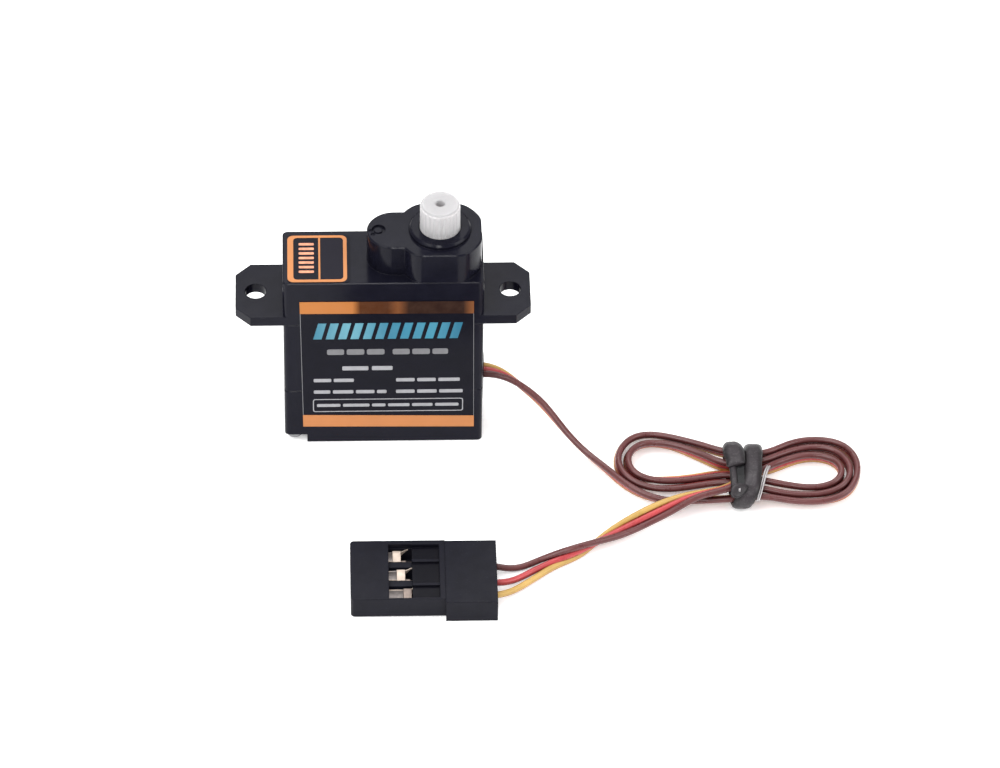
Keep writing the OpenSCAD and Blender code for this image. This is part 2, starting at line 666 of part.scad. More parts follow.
module wrap(lean) {
  rotate([90, 0, 90]) linear_extrude(2.0) difference() {
    hull() for (s = [-1, 1]) translate([s*2.75, 1.6]) circle(r = 1.6, $fn = 32);
    translate([-3.87, 0.48]) square([7.74, 2.14]);
  }
}

module twist_tie() {
  color([0.22, 0.22, 0.24]) union() {
    translate([33.7, -10.45, 0]) wrap(0);
    translate([35.7 - e, -10.45, 0]) wrap(0);
    translate([34.2, -14.9, 2.7]) cube([2.2, 2.6, 0.55]);
  }
}

module tie_wire() {
  color([0.8, 0.8, 0.82]) translate([37.8, -10.4, 2.95]) rotate([90, 0, 0]) cylinder(r = 0.14, h = 4.4, $fn = 16);
}

module plug_housing() {
  color([0.1, 0.1, 0.11]) translate([plug_x, plug_y, 0]) difference() {
    union() {
      // body with round upright corners in front
      translate([0, 0, 0.15]) linear_extrude(plug_t - 0.15) hull() {
        for (s = [-1, 1]) translate([0.4, s*(plug_w/2 - 0.4)]) circle(r = 0.4, $fn = 32);
        translate([4, -plug_w/2]) square([5.3 + e, plug_w]);
      }
      // rear flange
      translate([9.3, -plug_w/2 - 0.6, 0]) cube([plug_l - 9.3, plug_w + 0.42, plug_t + 0.1]);
    }
    // pin entries and contact cavities
    for (k = [-1, 0, 1]) translate([0, k*pitch, 0]) {
      translate([-1, -0.5, row_z - 0.5]) cube([3, 1, 1]);
      translate([0.75, -0.9, row_z - 0.8]) cube([plug_l, 1.8, 1.6]);
    }
    // open window over the three contacts
    translate([3.75, -plug_w/2 + 0.2, row_z + 0.8 - e]) cube([2.3, plug_w - 0.7, 3]);
    // shallow step behind it, with low ribs left standing
    difference() {
      translate([6.05 - e, -plug_w/2 + 0.25, 2.1]) cube([2.7, plug_w - 0.8, 3]);
      for (y = [1.25, -1.95]) translate([6, y, 0]) cube([3, 0.35, 2.34]);
    }
  }
}
module plug_contacts() {
  color([0.85, 0.75, 0.5]) translate([plug_x, plug_y, row_z]) for (k = [-1, 0, 1]) translate([0, k*pitch, 0]) {
    difference() {
      translate([0.85, -0.7, -0.7]) cube([5.85, 1.4, 1.4]);
      translate([0, -0.5, -0.5]) cube([6.0, 1, 1]);
    }
    translate([6.7 - e, -0.55, -0.7]) cube([4.3, 1.1, 0.9]);
  }
}

top_cover();
middle_case();
bottom_cover();
case_screws();
front_label();
top_label();
output_shaft();
gear_1();
gear_2();
gear_3();
gear_axle();
motor_pinion();
motor_shaft();
motor_core();
motor_windings();
commutator();
motor_can();
motor_magnets();
motor_end_cap();
motor_brushes();
motor_terminals();
motor_bushings();
motor_leads();
pot_housing();
pot_track();
pot_wiper();
pot_shaft();
pot_terminals();
pot_leads();
control_board();
controller_chip();
driver_chips();
board_capacitors();
board_resistors();
tail_brown();
tail_red();
tail_orange();
lead_in();
cable_hank();
lead_out();
twist_tie();
tie_wire();
plug_housing();
plug_contacts();
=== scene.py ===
import math
import bpy
import bmesh
import numpy as np
from mathutils import Matrix, Vector


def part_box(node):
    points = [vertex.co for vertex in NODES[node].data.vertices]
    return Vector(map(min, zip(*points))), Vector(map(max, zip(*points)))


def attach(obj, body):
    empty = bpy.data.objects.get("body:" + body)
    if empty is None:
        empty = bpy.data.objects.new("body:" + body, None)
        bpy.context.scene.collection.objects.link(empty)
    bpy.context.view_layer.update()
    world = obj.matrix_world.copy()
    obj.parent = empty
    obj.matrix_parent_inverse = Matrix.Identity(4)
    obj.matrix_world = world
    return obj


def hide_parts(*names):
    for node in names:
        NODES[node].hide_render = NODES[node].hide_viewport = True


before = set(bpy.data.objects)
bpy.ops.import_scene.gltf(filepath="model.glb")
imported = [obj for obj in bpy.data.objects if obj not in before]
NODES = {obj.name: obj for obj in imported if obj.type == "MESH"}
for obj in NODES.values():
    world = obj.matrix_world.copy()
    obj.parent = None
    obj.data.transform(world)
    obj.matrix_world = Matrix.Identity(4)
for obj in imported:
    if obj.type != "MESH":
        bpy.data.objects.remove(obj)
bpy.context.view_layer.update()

MM = 0.001
scene = bpy.context.scene


def link(ob):
    scene.collection.objects.link(ob)
    return ob


# ---------------------------------------------------------------- camera

RIGHT = Vector((0.999496, -0.028695, 0.013601))
UP = Vector((0.010266, 0.697281, 0.716724))
BACK = Vector((-0.03005, -0.716223, 0.697224))
cam_data = bpy.data.cameras.new("camera")
cam_data.sensor_width = 36.0
cam_data.lens = 5963.04 * 36.0 / 1000.0
cam_data.clip_start = 0.05
cam_data.clip_end = 10.0
cam = link(bpy.data.objects.new("camera", cam_data))
cam.matrix_world = Matrix((
    (RIGHT.x, UP.x, BACK.x, -6.25316 * MM),
    (RIGHT.y, UP.y, BACK.y, -429.733873 * MM),
    (RIGHT.z, UP.z, BACK.z, 422.467915 * MM),
    (0, 0, 0, 1)))
scene.camera = cam


# ---------------------------------------------------------------- materials

def nodes_of(name):
    m = bpy.data.materials.new(name)
    m.use_nodes = True
    nt = m.node_tree
    bsdf = nt.nodes["Principled BSDF"]
    return m, nt, bsdf


def noise(nt, coord, scale, detail=3.0, rough=0.55, stretch=None):
    if stretch:
        mp = nt.nodes.new("ShaderNodeMapping")
        mp.inputs["Scale"].default_value = stretch
        nt.links.new(coord, mp.inputs["Vector"])
        coord = mp.outputs["Vector"]
    n = nt.nodes.new("ShaderNodeTexNoise")
    n.inputs["Scale"].default_value = scale
    n.inputs["Detail"].default_value = detail
    n.inputs["Roughness"].default_value = rough
    nt.links.new(coord, n.inputs["Vector"])
    return n.outputs["Fac"]


def remap(nt, value, a, b, lo=0.3, hi=0.7):
    r = nt.nodes.new("ShaderNodeMapRange")
    r.inputs["From Min"].default_value = lo
    r.inputs["From Max"].default_value = hi
    r.inputs["To Min"].default_value = a
    r.inputs["To Max"].default_value = b
    nt.links.new(value, r.inputs["Value"])
    return r.outputs["Result"]


def mix(nt, fac, a, b):
    m = nt.nodes.new("ShaderNodeMix")
    m.data_type = "RGBA"
    for key, v in (("A", a), ("B", b)):
        s = [i for i in m.inputs if i.name == key and i.type == "RGBA"][0]
        if isinstance(v, (tuple, list)):
            s.default_value = (*v[:3], 1.0)
        else:
            nt.links.new(v, s)
    f = [i for i in m.inputs if i.name == "Factor" and i.type == "VALUE"][0]
    if isinstance(fac, float):
        f.default_value = fac
    else:
        nt.links.new(fac, f)
    return [o for o in m.outputs if o.type == "RGBA"][0]


def tint(c, k):
    return tuple(min(1.0, max(0.0, x * k)) for x in c[:3])


def surface(name, color, rough=0.4, metal=0.0, var=0.1, scale=600.0, rvar=0.06, rscale=900.0,
            bump=0.0, bscale=2500.0, stretch=None, spec=0.5, coat=0.0, coat_rough=0.1,
            sss=0.0, sss_radius=(1.0, 0.8, 0.7), sss_scale=0.001, trans=0.0, ior=1.5,
            speck=None, sheen=0.0, edge=0.0):
    """A moulded, metal or printed surface: colour drift, uneven gloss and a fine relief."""
    m, nt, b = nodes_of(name)
    tc = nt.nodes.new("ShaderNodeTexCoord")
    obj = tc.outputs["Object"]
    c = mix(nt, remap(nt, noise(nt, obj, scale, 4.0, stretch=stretch), 0.0, 1.0),
            tint(color, 1 - var), tint(color, 1 + var))
    if speck:
        f = noise(nt, obj, speck[1], 2.0)
        c = mix(nt, remap(nt, f, 0.0, speck[3] if len(speck) > 3 else 0.7, speck[2], speck[2] + 0.06), c, speck[0])
    nt.links.new(c, b.inputs["Base Color"])
    nt.links.new(remap(nt, noise(nt, obj, rscale, 3.0, stretch=stretch),
                       max(0.02, rough - rvar), min(1.0, rough + rvar)), b.inputs["Roughness"])
    b.inputs["Metallic"].default_value = metal
    b.inputs["Specular IOR Level"].default_value = spec
    b.inputs["IOR"].default_value = ior
    b.inputs["Coat Weight"].default_value = coat
    b.inputs["Coat Roughness"].default_value = coat_rough
    b.inputs["Sheen Weight"].default_value = sheen
    b.inputs["Transmission Weight"].default_value = trans
    if sss:
        b.inputs["Subsurface Weight"].default_value = sss
        b.inputs["Subsurface Radius"].default_value = sss_radius
        b.inputs["Subsurface Scale"].default_value = sss_scale
    normal = None
    if edge:
        bv = nt.nodes.new("ShaderNodeBevel")
        bv.samples = 4
        bv.inputs["Radius"].default_value = edge
        normal = bv.outputs["Normal"]
    if bump:
        bp = nt.nodes.new("ShaderNodeBump")
        bp.inputs["Strength"].default_value = bump
        bp.inputs["Distance"].default_value = 0.00004
        nt.links.new(noise(nt, obj, bscale, 3.0, stretch=stretch), bp.inputs["Height"])
        if normal:
            nt.links.new(normal, bp.inputs["Normal"])
        normal = bp.outputs["Normal"]
    if normal:
        nt.links.new(normal, b.inputs["Normal"])
    return m


M = {}
SHAFT_X = 5.6  # mm
M["case"] = surface("case_plastic", (0.0062, 0.0062, 0.0122), 0.22, var=0.12, rvar=0.03, bump=0.012, bscale=2600, edge=0.00014, spec=0.085)
M["cover"] = surface("cover_plastic", (0.0061, 0.0061, 0.0116), 0.18, var=0.12, rvar=0.03, bump=0.010, bscale=2600, edge=0.00014, spec=0.095)
M["plug"] = surface("plug_plastic", (0.0072, 0.0072, 0.0120), 0.38, var=0.14, rvar=0.06, bump=0.08, bscale=2600, edge=0.00012, spec=0.10,
                    speck=((0.020, 0.020, 0.027), 5200.0, 0.66, 0.5))
M["film"] = surface("label_film", (0.0056, 0.0056, 0.0104), 0.20, var=0.1, rvar=0.03, bump=0.008, bscale=600, spec=0.07)
M["nylon"] = surface("white_nylon", (0.455, 0.447, 0.455), 0.55, var=0.02, rvar=0.05, bump=0.04, bscale=1500, spec=0.16,
                     sss=0.85, sss_radius=(1.0, 0.97, 0.97), sss_scale=0.0020, edge=0.00032)
# painted shade: inside this box the shallow step behind the plug's window gets a much darker base colour, standing in
# for the shade in the recess
pl = M["plug"].node_tree
pb = pl.nodes["Principled BSDF"]
psep = pl.nodes.new("ShaderNodeSeparateXYZ")
pl.links.new(pl.nodes.new("ShaderNodeTexCoord").outputs["Object"], psep.inputs[0])
recess_shade_mask = None
for ax, op, lim in (("X", "GREATER_THAN", 2.45), ("X", "LESS_THAN", 5.25), ("Y", "GREATER_THAN", -28.0),
                    ("Y", "LESS_THAN", -20.75), ("Z", "GREATER_THAN", 1.0), ("Z", "LESS_THAN", 2.25)):
    t = pl.nodes.new("ShaderNodeMath")
    t.operation = op
    t.inputs[1].default_value = lim * 0.001
    pl.links.new(psep.outputs[ax], t.inputs[0])
    if recess_shade_mask is not None:
        q = pl.nodes.new("ShaderNodeMath")
        q.operation = "MULTIPLY"
        pl.links.new(recess_shade_mask, q.inputs[0])
        pl.links.new(t.outputs[0], q.inputs[1])
        t = q
    recess_shade_mask = t.outputs[0]
psrc = pb.inputs["Base Color"].links[0].from_socket
# the near-black colour mixed in here is painted shade, not the plastic's own colour
pl.links.new(mix(pl, recess_shade_mask, psrc, (0.0026, 0.0025, 0.0052)), pb.inputs["Base Color"])
# the output shaft: translucent white nylon whose colour also carries painted light and shade, lighter in the teeth's
# grooves and on the side, darker on the chamfer and top
M["shaft"] = surface("shaft_nylon", (0.42, 0.41, 0.42), 0.55, var=0.02, rvar=0.05, bump=0.04, bscale=1500, spec=0.14,
                     sss=0.85, sss_radius=(1.0, 0.97, 0.97), sss_scale=0.0022, edge=0.00032)
nyl = M["shaft"].node_tree
nb = nyl.nodes["Principled BSDF"]
ng = nyl.nodes.new("ShaderNodeNewGeometry")
ns = nyl.nodes.new("ShaderNodeSeparateXYZ")
nyl.links.new(ng.outputs["Normal"], ns.inputs[0])
groove_light_ao = nyl.nodes.new("ShaderNodeAmbientOcclusion")
groove_light_ao.samples = 6
groove_light_ao.inputs["Distance"].default_value = 0.0004
# painted light and shade by facing: the side (low normal Z) is lighter, the chamfer and the top darker, evening out how
# the lamps fall on them
ramp = nyl.nodes.new("ShaderNodeValToRGB")
facing_shade_stops = ramp.color_ramp.elements
while len(facing_shade_stops) < 4:
    facing_shade_stops.new(0.5)
for k, (pos, g) in enumerate(((0.15, 0.435), (0.60, 0.335), (0.80, 0.345), (0.98, 0.415))):
    facing_shade_stops[k].position = pos
    facing_shade_stops[k].color = (g, g * 0.985, g, 1.0)
nyl.links.new(ns.outputs["Z"], ramp.inputs["Fac"])
grain = noise(nyl, nyl.nodes.new("ShaderNodeTexCoord").outputs["Object"], 3200.0, 3.0)
grain_and_facing_shade = mix(nyl, remap(nyl, grain, 0.0, 0.16), ramp.outputs["Color"], (0.30, 0.295, 0.31))
# painted light: occluded grooves between the teeth take a lighter colour, cancelling their shade
nyl.links.new(mix(nyl, remap(nyl, groove_light_ao.outputs["AO"], 0.0, 1.0, 0.50, 0.96), (0.66, 0.645, 0.65), grain_and_facing_shade), nb.inputs["Base Color"])
# its side takes most of its shading direction from the plain cylinder
no = nyl.nodes.new("ShaderNodeTexCoord")
vs = nyl.nodes.new("ShaderNodeVectorMath")
vs.operation = "SUBTRACT"
vs.inputs[1].default_value = (SHAFT_X * 0.001, 0.0, 0.0)
nyl.links.new(no.outputs["Object"], vs.inputs[0])
vm = nyl.nodes.new("ShaderNodeVectorMath")
vm.operation = "MULTIPLY"
vm.inputs[1].default_value = (1.0, 1.0, 0.0)
nyl.links.new(vs.outputs[0], vm.inputs[0])
vn = nyl.nodes.new("ShaderNodeVectorMath")
vn.operation = "NORMALIZE"
nyl.links.new(vm.outputs[0], vn.inputs[0])
vt = nyl.nodes.new("ShaderNodeVectorTransform")
vt.vector_type = "NORMAL"
vt.convert_from = "OBJECT"
vt.convert_to = "WORLD"
nyl.links.new(vn.outputs[0], vt.inputs[0])
nsrc = nb.inputs["Normal"].links[0].from_socket
vmix = nyl.nodes.new("ShaderNodeMix")
vmix.data_type = "VECTOR"
va = [i for i in vmix.inputs if i.name == "A" and i.type == "VECTOR"][0]
vb = [i for i in vmix.inputs if i.name == "B" and i.type == "VECTOR"][0]
vf = [i for i in vmix.inputs if i.name == "Factor" and i.type == "VALUE"][0]
vo = [o for o in vmix.outputs if o.type == "VECTOR"][0]
nyl.links.new(nsrc, va)
nyl.links.new(vt.outputs[0], vb)
vd = nyl.nodes.new("ShaderNodeVectorMath")
vd.operation = "DOT_PRODUCT"
nyl.links.new(ng.outputs["Normal"], vd.inputs[0])
nyl.links.new(vt.outputs[0], vd.inputs[1])
vp = nyl.nodes.new("ShaderNodeMath")
vp.operation = "MULTIPLY"
nyl.links.new(remap(nyl, ns.outputs["Z"], 0.85, 0.0, 0.15, 0.4), vp.inputs[0])
nyl.links.new(remap(nyl, vd.outputs["Value"], 0.0, 1.0, 0.05, 0.3), vp.inputs[1])
nyl.links.new(vp.outputs[0], vf)
vl = nyl.nodes.new("ShaderNodeVectorMath")
vl.operation = "NORMALIZE"
nyl.links.new(vo, vl.inputs[0])
nyl.links.new(vl.outputs[0], nb.inputs["Normal"])
M["steel"] = surface("screw_steel", (0.24, 0.24, 0.25), 0.36, 0.8, var=0.06, rvar=0.08, bump=0.12, bscale=3000)
M["ground"] = surface("ground_steel", (0.62, 0.62, 0.64), 0.22, 1.0, var=0.05, rvar=0.06, bump=0.12, bscale=1800, stretch=(1, 1, 12))
M["brass"] = surface("machined_brass", (0.68, 0.47, 0.18), 0.28, 1.0, var=0.06, rvar=0.08, bump=0.1, bscale=2200)
M["core"] = surface("laminated_core", (0.30, 0.30, 0.32), 0.42, 1.0, var=0.12, rvar=0.1, bump=0.5, bscale=900, stretch=(1, 1, 9))
M["copper"] = surface("enamelled_copper", (0.55, 0.20, 0.07), 0.30, 1.0, var=0.15, rvar=0.08, bump=0.8, bscale=1100, stretch=(1, 1, 6))
M["can"] = surface("plated_can", (0.56, 0.57, 0.59), 0.30, 1.0, var=0.05, rvar=0.08, bump=0.1, bscale=1500, stretch=(1, 1, 5))
M["magnet"] = surface("sintered_magnet", (0.09, 0.09, 0.095), 0.55, 0.4, var=0.2, rvar=0.1, bump=0.5, bscale=2600)
M["offwhite"] = surface("off_white_plastic", (0.72, 0.71, 0.66), 0.42, var=0.04, bump=0.1)
M["contact"] = surface("plated_contact", (0.46, 0.38, 0.32), 0.38, 0.45, var=0.06, scale=1800, rvar=0.1, rscale=2600, bump=0.12, bscale=2000)
M["tin"] = surface("tinned_wire", (0.60, 0.60, 0.62), 0.22, 1.0, var=0.05, rvar=0.08, bump=0.15, bscale=3000)
M["pot"] = surface("phenolic", (0.05, 0.035, 0.028), 0.45, var=0.15, bump=0.25, bscale=2200)
M["board"] = surface("solder_mask", (0.015, 0.12, 0.05), 0.30, var=0.12, bump=0.3, bscale=1500, coat=0.5)
M["chip"] = surface("chip_package", (0.02, 0.02, 0.022), 0.5, var=0.15, bump=0.35, bscale=4000)
M["ceramic"] = surface("capacitor_ceramic", (0.38, 0.25, 0.13), 0.4, var=0.1, bump=0.2)
M["orange"] = surface("label_orange", (0.47, 0.165, 0.036), 0.40, 0.0, var=0.05, scale=300, rvar=0.05)
M["white_ink"] = surface("label_light_ink", (0.30, 0.30, 0.32), 0.45, var=0.08, scale=1500)
M["grey_ink"] = surface("label_grey_ink", (0.15, 0.15, 0.16), 0.45, var=0.08, scale=1500)
M["navy"] = surface("label_navy", (0.0075, 0.0065, 0.013), 0.22, var=0.05, rvar=0.01, spec=0.08)
M["copper_ink"] = surface("label_copper_ink", (0.62, 0.25, 0.14), 0.34, 0.2, var=0.22, scale=2400, rvar=0.08)
# painted shade: two darker copies of the contact metal for the parts that sit in the plug's shade
M["contact_deep_shade"] = surface("contact_deep_shade", (0.14, 0.122, 0.116), 0.34, 0.6, var=0.25, scale=2600, rvar=0.1, bump=0.2, bscale=2600)
M["contact_soft_shade"] = surface("contact_soft_shade", (0.22, 0.172, 0.148), 0.40, 0.5, var=0.15, scale=2200, rvar=0.1, bump=0.15, bscale=2600)
# painted shade: a near-black copy of the tie plastic for the folded strip, standing in for the fold's shade
M["tie_fold_shade"] = surface("tie_fold_painted_shade", (0.012, 0.012, 0.013), 0.45, var=0.2, scale=1200, bump=0.3, bscale=1500, spec=0.22)
M["tie"] = surface("tie_plastic", (0.0265, 0.0215, 0.0250), 0.40, var=0.30, scale=700, rvar=0.1, rscale=1800, bump=0.9, bscale=1300,
                   speck=((0.055, 0.047, 0.051), 5200.0, 0.57, 0.6), spec=0.30)
def shade_sides(m, low, lo, hi):
    """Paint shade into a strip's two edges, where it turns towards +X and -X."""
    nt = m.node_tree
    b = nt.nodes["Principled BSDF"]
    src = b.inputs["Base Color"].links[0].from_socket
    g = nt.nodes.new("ShaderNodeNewGeometry")
    sep = nt.nodes.new("ShaderNodeSeparateXYZ")
    nt.links.new(g.outputs["Normal"], sep.inputs[0])
    ab = nt.nodes.new("ShaderNodeMath")
    ab.operation = "ABSOLUTE"
    nt.links.new(sep.outputs["X"], ab.inputs[0])
    nt.links.new(mix(nt, remap(nt, ab.outputs[0], 1.0, 0.0, lo, hi), low, src), b.inputs["Base Color"])


# painted shade on the tie's two edges, where they turn away from the lamps
shade_sides(M["tie"], (0.007, 0.0055, 0.0065), 0.08, 0.60)
M["tie_metal"] = surface("tie_bare_metal", (0.42, 0.40, 0.405), 0.34, 0.7, var=0.06, rvar=0.05, bump=0.05, bscale=3000, spec=0.3)


def wire_material(name, color, hollow_shade, hue):
    """PVC insulation: a slightly uneven extruded skin, with painted shade in the hollows between strands."""
    m = surface(name, color, 0.30, var=0.14, scale=420, rvar=0.06, rscale=1300, bump=0.12, bscale=1100,
                sss=0.08, sss_radius=hue, sss_scale=0.0003, spec=0.38)
    nt = m.node_tree
    b = nt.nodes["Principled BSDF"]
    src = b.inputs["Base Color"].links[0].from_socket
    # painted shade: where ambient occlusion finds the strands close, the colour turns to the darker hollow colour
    ao = nt.nodes.new("ShaderNodeAmbientOcclusion")
    ao.samples = 6
    ao.inputs["Distance"].default_value = 0.0011
    nt.links.new(mix(nt, remap(nt, ao.outputs["AO"], 0.0, 1.0, 0.15, 0.85), hollow_shade, src), b.inputs["Base Color"])
    return m


M["brown"] = wire_material("brown_pvc", (0.106, 0.031, 0.031), (0.042, 0.009, 0.008), (1.0, 0.4, 0.3))
M["red"] = wire_material("red_pvc", (0.425, 0.053, 0.058), (0.17, 0.016, 0.014), (1.0, 0.2, 0.2))
M["yellow"] = wire_material("yellow_pvc", (0.475, 0.300, 0.085), (0.28, 0.075, 0.018), (1.0, 0.7, 0.2))


def banded(name, stops, rough, metal, lo, hi, axis="X"):
    """Printed foil or ink whose tone runs along one axis between lo and hi, in metres; on the copper foil the tone is
    painted reflection.
    """
    m, nt, b = nodes_of(name)
    tc = nt.nodes.new("ShaderNodeTexCoord")
    sep = nt.nodes.new("ShaderNodeSeparateXYZ")
    nt.links.new(tc.outputs["Object"], sep.inputs[0])
    r = nt.nodes.new("ShaderNodeMapRange")
    r.inputs["From Min"].default_value = lo
    r.inputs["From Max"].default_value = hi
    nt.links.new(sep.outputs[axis], r.inputs["Value"])
    ramp = nt.nodes.new("ShaderNodeValToRGB")
    e = ramp.color_ramp.elements
    while len(e) < len(stops):
        e.new(0.5)
    for k, (p, c) in enumerate(stops):
        e[k].position = p
        e[k].color = (*c, 1.0)
    nt.links.new(r.outputs["Result"], ramp.inputs["Fac"])
    g = noise(nt, tc.outputs["Object"], 900.0, 3.0)
    c = mix(nt, remap(nt, g, 0.0, 0.03), ramp.outputs["Color"], (0.5, 0.3, 0.2))
    nt.links.new(c, b.inputs["Base Color"])
    nt.links.new(remap(nt, noise(nt, tc.outputs["Object"], 700.0), rough - 0.015, rough + 0.015), b.inputs["Roughness"])
    b.inputs["Metallic"].default_value = metal
    b.inputs["Specular IOR Level"].default_value = 0.07
    return m


# painted reflection: the copper foil's light, dark and glint bands along X stand in for the room reflected in the
# metallic print, on a non-metal surface
M["copper_band"] = banded("label_copper_foil", [(0.0, (0.45, 0.168, 0.046)), (0.30, (0.41, 0.150, 0.042)), (0.345, (0.070, 0.022, 0.007)),
                                               (0.50, (0.060, 0.019, 0.007)), (0.56, (0.15, 0.050, 0.016)), (0.62, (0.022, 0.009, 0.006)),
                                               (0.93, (0.020, 0.008, 0.006)), (0.965, (0.13, 0.046, 0.017)), (1.0, (0.19, 0.068, 0.024))],
                          0.24, 0.0, -8.3 * MM, 9.1 * MM)
M["cyan_ink"] = banded("label_cyan_ink", [(0.0, (0.05, 0.19, 0.27)), (0.25, (0.13, 0.33, 0.41)), (0.5, (0.035, 0.18, 0.27)),
                                         (0.8, (0.05, 0.23, 0.33)), (1.0, (0.020, 0.13, 0.21))], 0.35, 0.0, -7.0 * MM, 7.9 * MM)


def paint(node, key):
    me = NODES[node].data
    me.materials.clear()
    me.materials.append(M[key])


for n, k in {
        "top_cover": "cover", "middle_case": "case", "bottom_cover": "case", "case_screws": "steel",
        "front_label": "film", "top_label": "film", "output_shaft": "shaft", "gear_1": "nylon", "gear_2": "nylon",
        "gear_3": "nylon", "gear_axle": "ground", "motor_pinion": "brass", "motor_shaft": "ground",
        "motor_core": "core", "motor_windings": "copper", "commutator": "copper", "motor_can": "can",
        "motor_magnets": "magnet", "motor_end_cap": "offwhite", "motor_brushes": "contact",
        "motor_terminals": "contact", "motor_bushings": "brass", "motor_leads": "red", "pot_housing": "pot",
        "pot_track": "pot", "pot_wiper": "contact", "pot_shaft": "nylon", "pot_terminals": "tin",
        "pot_leads": "offwhite", "control_board": "board", "controller_chip": "chip", "driver_chips": "chip",
        "board_capacitors": "ceramic", "board_resistors": "chip", "tail_brown": "brown", "tail_red": "red",
        "tail_orange": "yellow", "lead_in": "brown", "cable_hank": "brown", "lead_out": "red",
        "twist_tie": "tie", "tie_wire": "tin", "plug_housing": "plug", "plug_contacts": "contact"}.items():
    paint(n, k)


# ---------------------------------------------------------------- the three wires

D = 0.66  # wire diameter, mm

